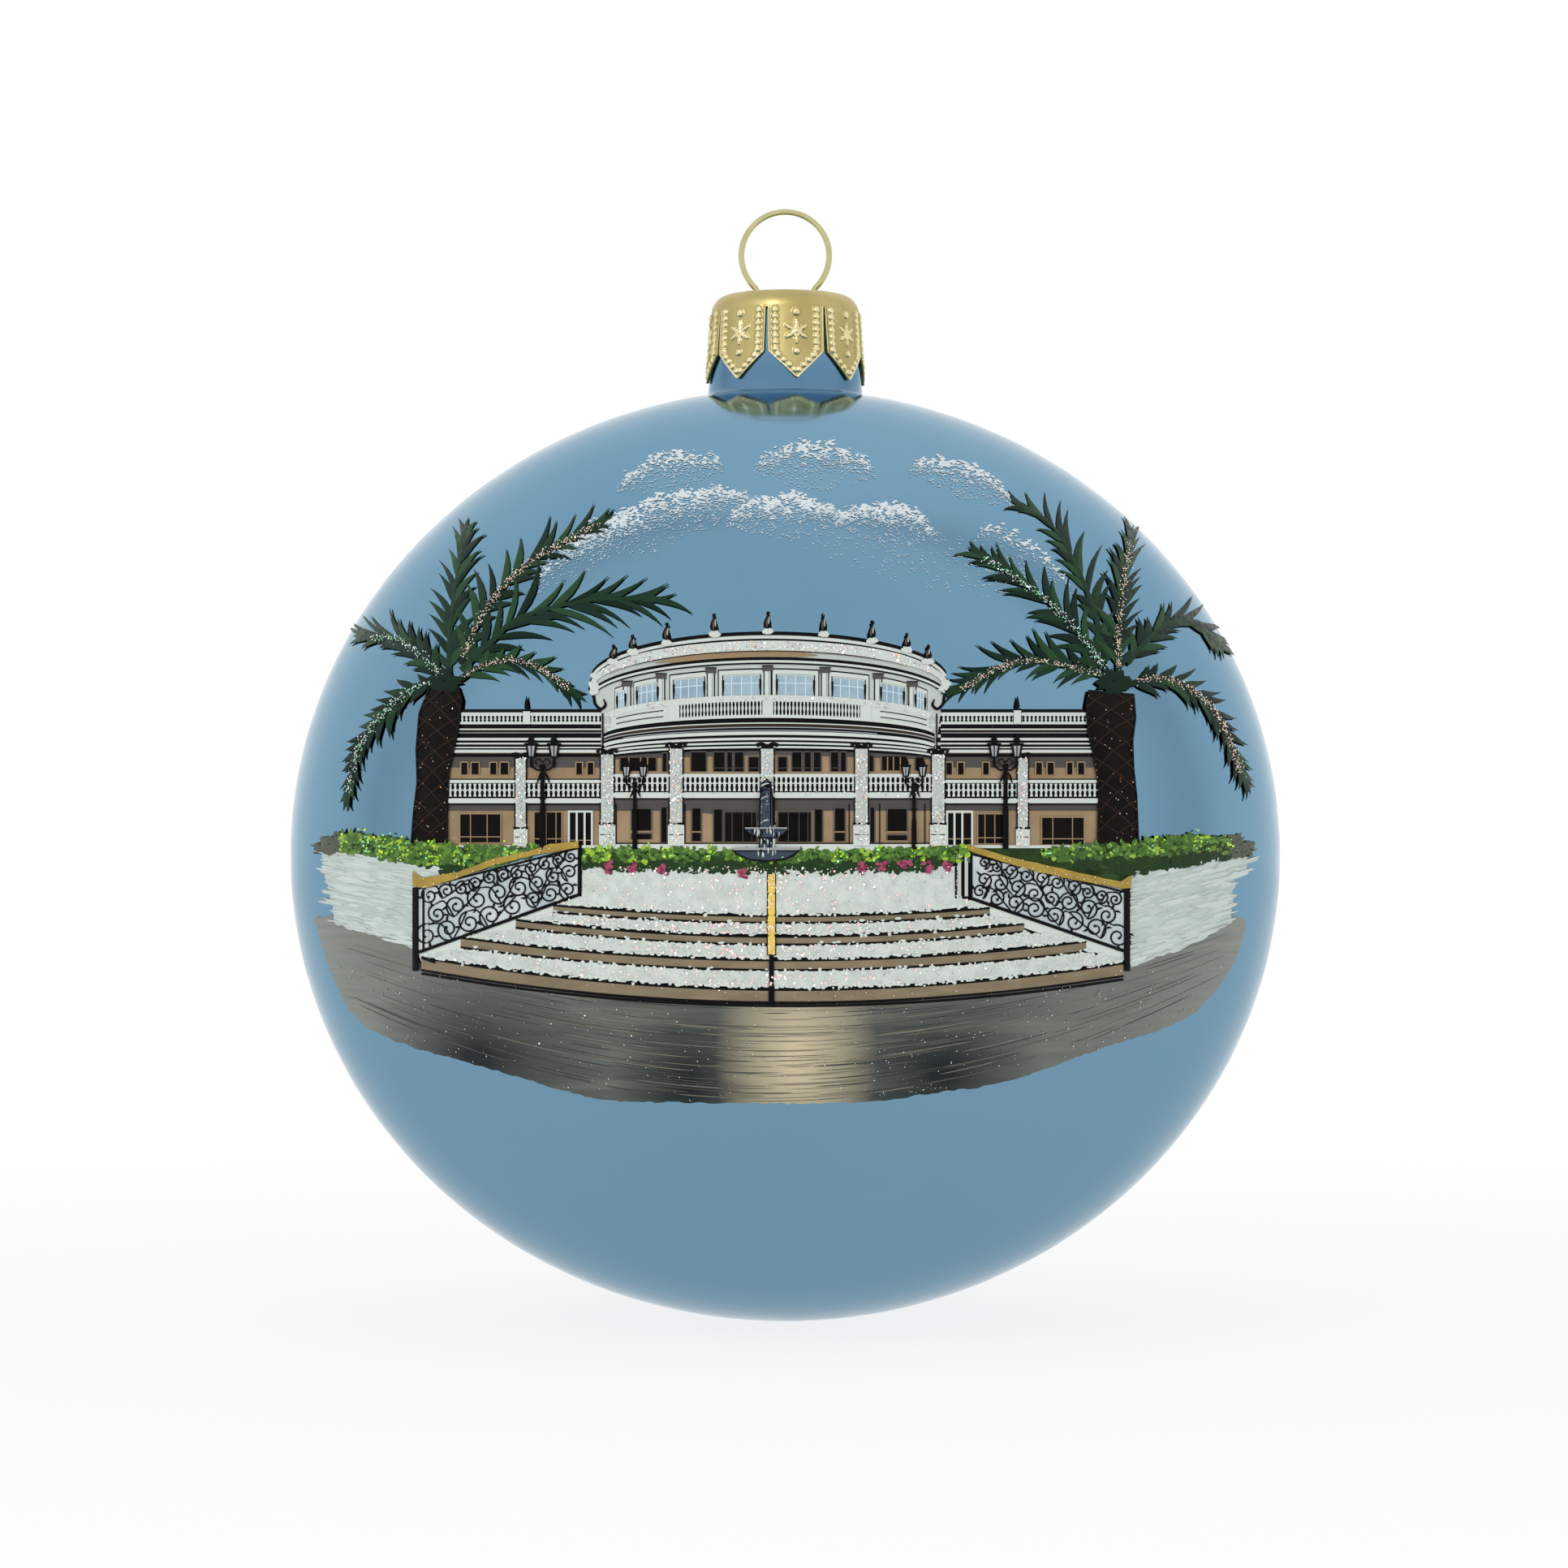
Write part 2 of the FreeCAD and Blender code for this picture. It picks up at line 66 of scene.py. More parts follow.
MM = 0.001
lacquer_low, lacquer_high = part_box("blue_lacquer_coat")
RADIUS = (lacquer_high.x - lacquer_low.x) / 2 / MM
HALF_HEIGHT = 47.1
VIEWER = 460.0

BASE_LIFT = 0.04            # first layer of paint over the lacquer
LEVEL_STEP = 0.02           # each later layer lies this much higher
STEP = 1.2                  # longest straight stretch of a brush stroke
dice = random.Random(11)


# ---- Casting the flat picture onto the ball -----------------------------------------------------
def cast(points, lift):
    """Row-frame places, in metres, of picture points seen on the ball raised by lift."""
    flat = np.asarray(points, float).reshape(-1, 2)
    lift = np.broadcast_to(np.asarray(lift, float), len(flat))
    radius, half = RADIUS + lift, HALF_HEIGHT + lift
    across = (VIEWER / radius) ** 2
    round_off = (flat[:, 0] / radius) ** 2 + (flat[:, 1] / half) ** 2
    limit = across / (across - 1) * 0.9994
    shrink = np.sqrt(np.minimum(1, limit / np.maximum(round_off, 1e-9)))
    u, v = flat[:, 0] * shrink, flat[:, 1] * shrink
    bend = (u / radius) ** 2 + (v / half) ** 2 + across
    share = (across - np.sqrt(np.maximum(across ** 2 - bend * (across - 1), 0))) / bend
    return np.stack([u * share, VIEWER * (share - 1), v * share + HALF_HEIGHT], 1) * MM


def height(level):
    return BASE_LIFT + LEVEL_STEP * level


def spaced(path, step=STEP):
    """The path with no stretch longer than step, and each point's share of the whole length."""
    out = [np.array(path[0], float)]
    for a, b in zip(path, path[1:]):
        a, b = np.array(a, float), np.array(b, float)
        facing = math.sqrt(max(0.12, 1 - (a[0] / RADIUS) ** 2 - (a[1] / HALF_HEIGHT) ** 2))
        pieces = max(1, math.ceil(np.linalg.norm(b - a) / (step * facing)))
        out += [a + (b - a) * i / pieces for i in range(1, pieces + 1)]
    out = np.array(out)
    run = np.concatenate([[0], np.cumsum(np.linalg.norm(np.diff(out, axis=0), axis=1))])
    return out, run / max(run[-1], 1e-9)


def smooth(points, per_stretch=5):
    """A rounded curve through the points."""
    p = [np.array(q, float) for q in points]
    p = [2 * p[0] - p[1]] + p + [2 * p[-1] - p[-2]]
    out = []
    for i in range(1, len(p) - 2):
        for k in range(per_stretch):
            t = k / per_stretch
            out.append(0.5 * (2 * p[i] + (p[i + 1] - p[i - 1]) * t
                              + (2 * p[i - 1] - 5 * p[i] + 4 * p[i + 1] - p[i + 2]) * t ** 2
                              + (3 * p[i] - p[i - 1] - 3 * p[i + 1] + p[i + 2]) * t ** 3))
    out.append(p[-2])
    return out


def bow(left, middle, right, steps=24):
    """Points along the parabola through three points."""
    points = []
    for i in range(steps + 1):
        u = left[0] + (right[0] - left[0]) * i / steps
        v = 0
        for one, two, three in ((left, middle, right), (middle, left, right), (right, left, middle)):
            v += one[1] * (u - two[0]) * (u - three[0]) / ((one[0] - two[0]) * (one[0] - three[0]))
        points.append((u, v))
    return points


def inside(points, outline):
    """Which points lie inside the closed outline."""
    points, outline = np.asarray(points, float), np.asarray(outline, float)
    x, y = points[:, 0], points[:, 1]
    hit = np.zeros(len(points), bool)
    for (x0, y0), (x1, y1) in zip(outline, np.roll(outline, -1, 0)):
        if y0 != y1:
            crosses = (y0 > y) != (y1 > y)
            hit ^= crosses & (x < (x1 - x0) * (y - y0) / (y1 - y0) + x0)
    return hit


def scatter(outline, count):
    """Random points inside the outline."""
    outline = np.asarray(outline, float)
    low, high = outline.min(0), outline.max(0)
    found = []
    while len(found) < count:
        tries = [(dice.uniform(low[0], high[0]), dice.uniform(low[1], high[1])) for _ in range(count)]
        found += [p for p, ok in zip(tries, inside(tries, outline)) if ok]
    return found[:count]


def box(left, bottom, right, top):
    return [(left, bottom), (right, bottom), (right, top), (left, top)]


def ripple(p, size, seed=0.0):
    """Smooth noise in -1..1 with features of about this size."""
    return noise.noise(Vector((p[0] / size, p[1] / size, seed)))


class Paint:
    """Brush work gathered into one thin mesh on the front of the ball."""

    def __init__(self, name, slot, *nodes):
        self.name, self.slot, self.nodes = name, slot, nodes
        self.uv, self.lift, self.faces, self.face_tone, self.tones = [], [], [], [], []

    def add(self, uv, lift, faces, tone):
        start = len(self.uv)
        self.uv += [tuple(p) for p in uv]
        self.lift += list(lift)
        if tone not in self.tones:
            self.tones.append(tone)
        self.faces += [[start + i for i in face] for face in faces]
        self.face_tone += [self.tones.index(tone)] * len(faces)

    def ribbon(self, path, widths, tone, level, relief):
        """A strip along the path, highest along its middle."""
        path = np.asarray(path, float)
        along = np.gradient(path, axis=0)
        along /= np.maximum(np.linalg.norm(along, axis=1, keepdims=True), 1e-9)
        side = np.stack([-along[:, 1], along[:, 0]], 1) * np.asarray(widths)[:, None] / 2
        low = height(level)
        uv, faces = [], []
        for i in range(len(path)):
            uv += [path[i] + side[i], path[i], path[i] - side[i]]
            if i:
                a = 3 * i - 3
                faces += [(a + 2, a + 5, a + 4, a + 1), (a + 1, a + 4, a + 3, a)]
        self.add(uv, [low, low + relief, low] * len(path), faces, tone)

    def stroke(self, path, width, tone, level=1, relief=0.02, ends=(1, 1)):
        path, share = spaced(path)
        widths = width * np.interp(share, [0, 0.15, 0.85, 1], [ends[0], 1, 1, ends[1]])
        self.ribbon(path, widths, tone, level, relief)

    def leaf(self, base, tip, width, tone, level=1, bend=0.12, relief=0.04, belly=0.75, steps=6):
        """A pointed dab from base to tip, swelling in its middle."""
        base, tip = np.array(base, float), np.array(tip, float)
        reach = tip - base
        control = (base + tip) / 2 + np.array([-reach[1], reach[0]]) * bend
        t = np.linspace(0, 1, steps + 1)[:, None]
        path = (1 - t) ** 2 * base + 2 * t * (1 - t) * control + t ** 2 * tip
        widths = width * np.sin(np.pi * t[:, 0] ** belly) + 0.02
        self.ribbon(path, widths, tone, level, relief)

    def blob(self, u, v, a, b, tone, level=1, relief=0.05, turn=0, sides=7, wobble=0.2):
        """A domed dab with a slightly uneven outline."""
        uv = [(u, v)]
        for i in range(sides):
            angle = 2 * math.pi * i / sides
            reach = 1 + wobble * dice.uniform(-1, 1)
            x, y = a * math.cos(angle) * reach, b * math.sin(angle) * reach
            uv.append((u + x * math.cos(turn) - y * math.sin(turn),
                       v + x * math.sin(turn) + y * math.cos(turn)))
        low = height(level)
        faces = [(0, i, i % sides + 1) for i in range(1, sides + 1)]
        self.add(uv, [low + relief] + [low] * sides, faces, tone)

    def flakes(self, places, sizes, tones, lift, tilt=0.08):
        """Glitter: small flat chips, each tilted its own way."""
        for u, v in places:
            size = dice.uniform(*sizes)
            start = dice.uniform(0, 2 * math.pi)
            lean, way = dice.uniform(0.2, 1) * tilt, dice.uniform(0, 2 * math.pi)
            base = lift + dice.uniform(0, 0.06)
            uv, lifts = [], []
            for i in range(5):
                angle = start + 2 * math.pi * i / 5
                uv.append((u + size / 2 * math.cos(angle), v + size / 2 * math.sin(angle)))
                lifts.append(base + lean * (1 + math.cos(angle - way)))
            self.add(uv, lifts, [(0, 1, 2, 3, 4)], dice.choice(tones))

    def area(self, outline, tone, level=0, grid=1.3, thick=0.0, bumps=0.0, bump_size=1.0, ragged=0.0,
             shoulder=0.5):
        """A filled patch. Its edge stays down and its middle rises by thick, uneven by bumps."""
        edge, _ = spaced(list(outline) + [outline[0]], grid)
        edge = edge[:-1]
        if ragged:
            edge = np.array([p + ragged * np.array([ripple(p, 0.7, 3.1), ripple(p, 0.7, 8.7)]) for p in edge])
        low, high = edge.min(0), edge.max(0)
        us = np.arange(low[0] + grid / 2, high[0], grid)
        vs = np.arange(low[1] + grid / 2, high[1], grid)
        mesh = np.array([(u + dice.uniform(-0.2, 0.2) * grid, v + dice.uniform(-0.2, 0.2) * grid)
                         for u in us for v in vs]).reshape(-1, 2)
        if len(mesh):
            mesh = mesh[inside(mesh, edge)]
        if len(mesh):
            mesh = mesh[[np.min(np.hypot(*(edge - p).T)) > 0.35 * grid for p in mesh]]
        corners = [Vector(p) for p in np.concatenate([edge, mesh])]
        loop = list(range(len(edge)))
        verts, _, faces, *_ = geometry.delaunay_2d_cdt(
            corners, [(i, (i + 1) % len(edge)) for i in loop], [loop], 1, 1e-6)
        uv = np.array([tuple(p) for p in verts])
        centres = np.array([uv[list(f)].mean(0) for f in faces])
        faces = [tuple(f) for f, ok in zip(faces, inside(centres, edge)) if ok]
        rise = np.zeros(len(uv))
        if thick:
            rise = thick * np.minimum(1, [np.min(np.hypot(*(edge - p).T)) / shoulder for p in uv])
        if bumps:
            rise *= [1 + bumps * ripple(p, bump_size, 5.0) for p in uv]
        self.add(uv, height(level) + rise, faces, tone)

    def piece(self, smooth_faces=True):
        points = cast(self.uv, self.lift).tolist()
        modelled(self.name, points, self.faces, self.tones, "ball", self.nodes, self.face_tone,
                 smooth_faces)


def modelled(name, points, faces, tones, body, nodes, face_tone=None, smooth_faces=True):
    """An object of these faces, riding on a body in place of the named CAD nodes."""
    data = bpy.data.meshes.new(name)
    data.from_pydata(points, [], faces)
    for tone in tones:
        data.materials.append(tone)
    if face_tone:
        data.polygons.foreach_set("material_index", face_tone)
    data.polygons.foreach_set("use_smooth", [smooth_faces] * len(faces))
    obj = bpy.data.objects.new(name, data)
    bpy.context.scene.collection.objects.link(obj)
    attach(obj, body)
    if nodes:
        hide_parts(*nodes)
    return obj


def bridged(rings, sides):
    """Quads from each closed ring of points to the next."""
    return [(i + j, i + (j + 1) % sides, i + sides + (j + 1) % sides, i + sides + j)
            for i in range(0, (rings - 1) * sides, sides) for j in range(sides)]


def raised_to_frame(x, y, z):
    """Metres in the part's frame, from millimetres about the ball's centre."""
    return x * MM, y * MM, (z + HALF_HEIGHT) * MM


# ---- Finishes -----------------------------------------------------------------------------------
def linear(colour):
    """8-bit display colour to the linear values that shaders take."""
    out = [c / 255 / 12.92 if c <= 10 else ((c / 255 + 0.055) / 1.055) ** 2.4 for c in colour]
    return (*out, 1)


def add_node(tree, kind, inputs=None, **settings):
    """A shader node with these settings, and each input set to a value or linked to a socket."""
    node = tree.nodes.new("ShaderNode" + kind)
    for key, value in settings.items():
        setattr(node, key, value)
    for key, value in (inputs or {}).items():
        if isinstance(value, bpy.types.NodeSocket):
            tree.links.new(value, node.inputs[key])
        else:
            node.inputs[key].default_value = value
    return node


MATT_SHINE, METAL_SHINE, DARK_SHINE = 0.15, 0.5, 0.06
DARK = 90                   # enamels darker than this hold so much pigment that they hardly shine


class Finish:
    """One procedural finish, built around a Principled shader."""

    def __init__(self, name, rough=0.45, metal=0.0, **inputs):
        self.material = bpy.data.materials.new(name)
        self.material.use_nodes = True
        self.tree = self.material.node_tree
        self.inputs = self.tree.nodes["Principled BSDF"].inputs
        self.inputs["Roughness"].default_value = rough
        self.inputs["Metallic"].default_value = metal
        self.inputs["Specular IOR Level"].default_value = METAL_SHINE if metal else MATT_SHINE
        for key, value in inputs.items():
            self.inputs[key.replace("_", " ")].default_value = value
        self.where = self.node("TexCoord").outputs["Object"]

    def node(self, kind, inputs=None, **settings):
        return add_node(self.tree, kind, inputs, **settings)

    def drive(self, name, socket):
        self.tree.links.new(socket, self.inputs[name])
        return self

    def noise(self, scale, detail=2.0, stretch=(1, 1, 1)):
        place = self.node("Mapping", {"Vector": self.where, "Scale": stretch}).outputs["Vector"]
        return self.node("TexNoise", {"Vector": place, "Scale": scale, "Detail": detail}).outputs["Fac"]

    def ranged(self, socket, low, high, from_low=0.3, from_high=0.7):
        return self.node("MapRange", {"Value": socket, "From Min": from_low, "From Max": from_high,
                                      "To Min": low, "To Max": high}).outputs["Result"]

    def mixed(self, share, first, second):
        """Colour mix; first and second are colours or sockets."""
        return self.node("Mix", {0: share, 6: first, 7: second}, data_type="RGBA").outputs[2]

    def clouded(self, cloud, first, second, edge=0.3):
        """A colour that drifts between two, given as 8-bit display values."""
        return self.mixed(self.ranged(cloud, 0, 1, edge, 1 - edge), linear(first), linear(second))

    def halo(self, centre, size):
        """1 at centre, falling to 0 at the given distances along x, y and z (mm, in the part's frame)."""
        place = self.node("Mapping", {"Vector": self.where, "Location": [c * MM for c in centre],
                                      "Scale": [s * MM for s in size]}, vector_type="TEXTURE")
        length = self.node("VectorMath", {0: place.outputs["Vector"]}, operation="LENGTH")
        return self.ranged(length.outputs["Value"], 1, 0, 0.1, 1)

    def rough(self, socket, low, high):
        return self.drive("Roughness", self.ranged(socket, low, high))

    def bump(self, socket, depth, strength=0.5):
        relief = self.node("Bump", {"Strength": strength, "Distance": depth * MM, "Height": socket})
        return self.drive("Normal", relief.outputs["Normal"])

    def colour(self, value):
        if isinstance(value, tuple):
            self.inputs["Base Color"].default_value = value
            return self
        return self.drive("Base Color", value)


def brushed(finish, cloud, rough, smoother, rougher, depth, brightest, metal):
    """Uneven gloss and fine brush relief; dark pigment takes nearly all the shine."""
    if brightest < DARK and not metal:
        finish.inputs["Specular IOR Level"].default_value = DARK_SHINE
    return finish.rough(cloud, rough - smoother, rough + rougher).bump(cloud, depth).material


def enamel(name, colour, rough=0.42, metal=0.0, grain=900, depth=0.02):
    """Brushed enamel in one colour."""
    finish = Finish(name, rough, metal).colour(linear(colour))
    return brushed(finish, finish.noise(grain), rough, 0.12, 0.14, depth, max(colour), metal)


def mottled(name, first, second, scale, rough=0.5, metal=0.0, stretch=(1, 1, 1), depth=0.03):
    """A broad coat whose colour, gloss and relief vary together."""
    finish = Finish(name, rough, metal)
    cloud = finish.noise(scale, 4, stretch)
    finish.colour(finish.clouded(cloud, first, second, 0.35))
    return brushed(finish, cloud, rough, 0.1, 0.12, depth, max(second), metal)


def chip(name, colour, rough=0.18):
    """Glitter: a bright metallic chip with a scuffed face."""
    finish = Finish(name, rough, 1.0).colour(linear(colour))
    finish.rough(finish.noise(2500), rough - 0.08, rough + 0.12)
    return finish.material


BLACK = enamel("ink_black", (12, 12, 14), 0.35)
SLATE = enamel("slate_enamel", (62, 74, 88), 0.4)
SHADE = enamel("shadow_grey", (82, 79, 76), 0.5)
PALE_GREY = enamel("pale_grey_enamel", (158, 164, 166), 0.5)
WHITE = enamel("line_white", (206, 214, 208), 0.5)
SOFT_WHITE = enamel("soft_white", (190, 198, 193), 0.55)
TAN = mottled("tan_wall", (146, 124, 96), (162, 139, 108), 260)
TAN_LINE = enamel("tan_line", (152, 129, 99))
BROWN_INK = enamel("brown_ink", (58, 47, 40), 0.4)
PANE = mottled("window_blue", (140, 166, 184), (166, 188, 200), 500, 0.25)
PALE_BLUE = enamel("muntin_blue_white", (206, 224, 236), 0.4)
GLASS_DARK = mottled("window_dark", (5, 5, 5), (16, 13, 11), 500, 0.35)
GOLD_PAINT = mottled("gold_ochre", (148, 122, 42), (176, 148, 58), 420, 0.45, 0.15)
YELLOW = enamel("yellow_gold", (238, 206, 104), 0.5)
SNOW = mottled("snow_paste", (195, 205, 198), (211, 220, 213), 900, 0.7, depth=0.04)
SNOW_DAB = enamel("snow_dab", (212, 221, 214), 0.7, grain=1600, depth=0.04)
CLOUD = enamel("cloud_white", (218, 229, 233), 0.6, grain=1600, depth=0.02)
CLOUD_THIN = enamel("cloud_thin", (184, 204, 215), 0.5, grain=1600)
SILVER_CHIP = chip("glitter_silver", (246, 248, 250))
PINK_CHIP = chip("glitter_pink", (250, 206, 204))
GOLD_CHIP = chip("glitter_gold", (250, 232, 196))
GREEN_CHIP = chip("glitter_lime", (176, 232, 60))
MINT_CHIP = chip("glitter_mint", (150, 240, 190))
SNOW_CHIPS = [SILVER_CHIP] * 4 + [PINK_CHIP, GOLD_CHIP, chip("glitter_grey", (176, 184, 188))]


# ---- Ball ---------------------------------------------------------------------------------------
NECK_BASE_Z, NECK_BASE_RADIUS = 46.0, 7.86
NECK_TOP_Z, NECK_TOP_RADIUS = 55.35, 7.24
BALL_ROWS, BALL_TURNS = 160, 256


def lathe(profile, turns):
    """Points and faces of a profile of (radius, z) turned about the axis; z is from the ball's centre."""
    angles = np.linspace(0, 2 * math.pi, turns, endpoint=False)
    points = [raised_to_frame(r * math.cos(a), r * math.sin(a), z) for r, z in profile for a in angles]
    return points, bridged(len(profile), turns)


def ball_profile():
    """From the bottom pole over the equator, through the blend at the neck's foot, to the neck's rim."""
    ball_end = math.acos((NECK_BASE_RADIUS + 0.6) / RADIUS)
    profile = [(max(RADIUS * math.cos(a), 0.02), HALF_HEIGHT * math.sin(a))
               for a in np.linspace(-math.pi / 2, ball_end, BALL_ROWS + 1)]
    foot = profile[-1]
    corner, on_neck = (NECK_BASE_RADIUS - 0.01, foot[1] + 0.05), (NECK_BASE_RADIUS - 0.03, foot[1] + 0.6)
    for t in np.linspace(0, 1, 7)[1:]:
        profile.append(tuple((1 - t) ** 2 * a + 2 * t * (1 - t) * b + t * t * c
                             for a, b, c in zip(foot, corner, on_neck)))
    for z in np.linspace(on_neck[1], NECK_TOP_Z, 13)[1:]:
        rise = (z - NECK_BASE_Z) / (NECK_TOP_Z - NECK_BASE_Z)
        profile.append((NECK_BASE_RADIUS + (NECK_TOP_RADIUS - NECK_BASE_RADIUS) * rise, z))
    return profile + [(NECK_TOP_RADIUS - 0.06, NECK_TOP_Z)]


def lacquer_finish():
    """Satin blue over mirrored glass with painted light and shade: painted shade greys the lower front and
    darkens the neck's root, a painted highlight lightens the front just below the neck; dull in the corner
    below the neck.
    """
    lacquer = Finish("blue_lacquer", 0.14, 1.0, Coat_Weight=0.14, Coat_Roughness=0.04,
                     Specular_Tint=linear((206, 222, 230)))
    neck_foot = NECK_BASE_Z + HALF_HEIGHT
    tint = lacquer.clouded(lacquer.noise(38, 3), (109, 149, 175), (115, 155, 179))
    # painted shade low on the front and at the neck's root, and a painted highlight on the front just below
    # the neck
    for centre, size, shade in (((0, -10, 22), (60, 60, 44), (110, 146, 168)),
                                ((0, 0, neck_foot + 2), (13, 13, 4.6), (50, 95, 140)),
                                ((0, -15, neck_foot - 3), (9.5, 12, 4.5), (118, 152, 188))):
        tint = lacquer.mixed(lacquer.halo(centre, size), tint, linear(shade))
    corner = lacquer.halo((0, 0, neck_foot + 0.5), (16, 16, 1.8))
    lacquer.drive("Metallic", lacquer.ranged(corner, 1, 0.3, 0.05, 0.55)).colour(tint)
    return lacquer.rough(lacquer.noise(240, 2), 0.1, 0.18).material


def make_ball():
    points, faces = lathe(ball_profile(), BALL_TURNS)
    faces.append(tuple(reversed(range(BALL_TURNS))))
    modelled("lacquered_ball", points, faces, [lacquer_finish()], "ball",
             ["blue_lacquer_coat"])
    # the glass and its lining stay as the CAD has them, with finishes of their own
    glass = Finish("clear_glass", 0.04, 0.0, Transmission_Weight=1.0, IOR=1.5)
    glass.rough(glass.noise(300), 0.02, 0.06).colour(linear((240, 248, 246)))
    silver = Finish("silver_mirror", 0.08, 1.0).colour(linear((226, 229, 233)))
    silver.rough(silver.noise(220), 0.05, 0.16)
    for node, slot, finish in (("glass_ball", "clear_glass", glass),
                               ("silver_lining", "silver_mirror", silver)):
        obj = frame["nodes"][node]
        obj.data.materials.clear()
        obj.data.materials.append(finish.material)


# ---- Cap ----------------------------------------------------------------------------------------
CAP_TOP_Z, CAP_RADIUS, CAP_SKIRT_RADIUS, CAP_SHOULDER, CAP_SHEET = 56.8, 7.5, 7.97, 1.9, 0.15
PETALS, PETAL_TURN = 8, math.radians(8.4)
PETAL_TIP_Z, PETAL_POINT_Z, SLIT_TOP_Z = 47.8, 50.4, 54.9
PETAL_ROWS, PETAL_POINTS = 78, 57           # rows up to the slits' top, and points across a petal
EDGE_RISE, EDGE_WIDTH = 0.14, 0.25
WIRE_HOLE_RADIUS, HOLE_SIDES = 0.6, 24
TOP_GRID = 0.5


def skirt_radius(z):
    side_top = CAP_TOP_Z - CAP_SHOULDER
    if z > side_top:
        return CAP_RADIUS - CAP_SHOULDER + math.sqrt(max(CAP_SHOULDER ** 2 - (z - side_top) ** 2, 0))
    return CAP_RADIUS + (CAP_SKIRT_RADIUS - CAP_RADIUS) * (side_top - z) / (side_top - PETAL_TIP_Z)


def petal_half_width(z):
    down = (SLIT_TOP_Z - z) / (SLIT_TOP_Z - PETAL_POINT_Z)
    straight = math.pi * skirt_radius(z) / PETALS - 0.12 - 0.13 * down
    if z >= PETAL_POINT_Z:
        return straight
    full = math.pi * skirt_radius(PETAL_POINT_Z) / PETALS - 0.25
    return 0.12 + (full - 0.12) * (z - PETAL_TIP_Z) / (PETAL_POINT_Z - PETAL_TIP_Z)


def petal_marks():
    """Embossed beads and the centre ornament of a petal, as x, z, radius and height."""
    marks = []
    for side in (-1, 1):
        for i in range(7):
            marks.append((side * 2.12, 54.6 - 0.66 * i, 0.37, 0.3))
        for i in range(4):
            marks.append((side * (1.84 - 0.54 * i), 50.05 - 0.5 * i, 0.35, 0.26))
    marks += [(0, 54.35, 0.42, 0.3), (0, 50.4, 0.38, 0.28), (0, 52.4, 0.32, 0.3)]
    for i in range(6):
        angle = math.pi / 6 + math.pi / 3 * i
        for reach, size in ((0.42, 0.26), (0.8, 0.26), (1.1, 0.2)):
            marks.append((reach * math.cos(angle), 52.4 + reach * math.sin(angle), size, 0.2))
    return marks


def cap_rows():
    """Heights of the rows of points, from the petals' tips over the shoulder to the flat top."""
    shoulder = [CAP_TOP_Z - CAP_SHOULDER * (1 - math.sin(a)) for a in np.linspace(0, math.pi / 2, 14)]
    above = [z for z in [SLIT_TOP_Z + 0.15] + shoulder if z > SLIT_TOP_Z + 0.1]
    return list(np.linspace(PETAL_TIP_Z, SLIT_TOP_Z, PETAL_ROWS)) + above


def embossed(marks, x, z, half):
    """How far the sheet stands out here on a petal: its beads, centre ornament and raised edge."""
    if z > SLIT_TOP_Z + 0.2:
        return 0.0
    gap = np.hypot(marks[:, 0] - x, marks[:, 1] - z) / marks[:, 2]
    rise = float(np.max(marks[:, 3] * np.sqrt(np.maximum(0, 1 - gap ** 2))))
    if z <= SLIT_TOP_Z:
        from_edge = (half - abs(x)) * (0.66 if z < PETAL_POINT_Z else 1)
        rise = max(rise, EDGE_RISE * max(0, 1 - from_edge / EDGE_WIDTH))
    return rise


def cap_skins():
    """The sheet's outer and inner points, row by row, and which outer ones are embossed."""
    marks = np.array(petal_marks())
    outer, inner, raised = [], [], []
    for z in cap_rows():
        radius = skirt_radius(z)
        half = petal_half_width(min(z, SLIT_TOP_Z))
        grow = radius / skirt_radius(SLIT_TOP_Z) if z > SLIT_TOP_Z else 1
        for petal in range(PETALS):
            middle = -math.pi / 2 + PETAL_TURN + 2 * math.pi * petal / PETALS
            for column in range(PETAL_POINTS):
                x = half * (2 * column / (PETAL_POINTS - 1) - 1)
                rise = embossed(marks, x, z, half)
                raised.append(rise > 0.05)
                angle = middle + x * grow / radius
                for skin, r in ((outer, radius + rise), (inner, radius - CAP_SHEET)):
                    skin.append(raised_to_frame(r * math.cos(angle), r * math.sin(angle), z))
    return outer, inner, raised


def cap_side(under):
    """Both skins, open at the slits, and the edges between them; under is the first inner point."""
    ring, slit_rows = PETALS * PETAL_POINTS, PETAL_ROWS - 1

    def edge(a, b):
        return a, b, under + b, under + a

    faces = []
    for i in range(under // ring - 1):
        for j in range(ring):
            if i >= slit_rows or (j + 1) % PETAL_POINTS:
                k = (j + 1) % ring
                quad = i * ring + j, i * ring + k, (i + 1) * ring + k, (i + 1) * ring + j
                faces += [quad, tuple(under + q for q in reversed(quad))]
    for first in range(0, ring, PETAL_POINTS):
        last = first + PETAL_POINTS - 1
        for low in range(0, slit_rows * ring, ring):
            faces += [edge(low + first, low + ring + first), edge(low + ring + last, low + last)]
        faces += [edge(j + 1, j) for j in range(first, last)]
        faces.append(edge(slit_rows * ring + (last + 1) % ring, slit_rows * ring + last))
    return faces


def circle(radius, count, centre=(0, 0)):
    angles = np.linspace(0, 2 * math.pi, count, endpoint=False)
    return [Vector(centre) + Vector((math.cos(t), math.sin(t))) * radius for t in angles]


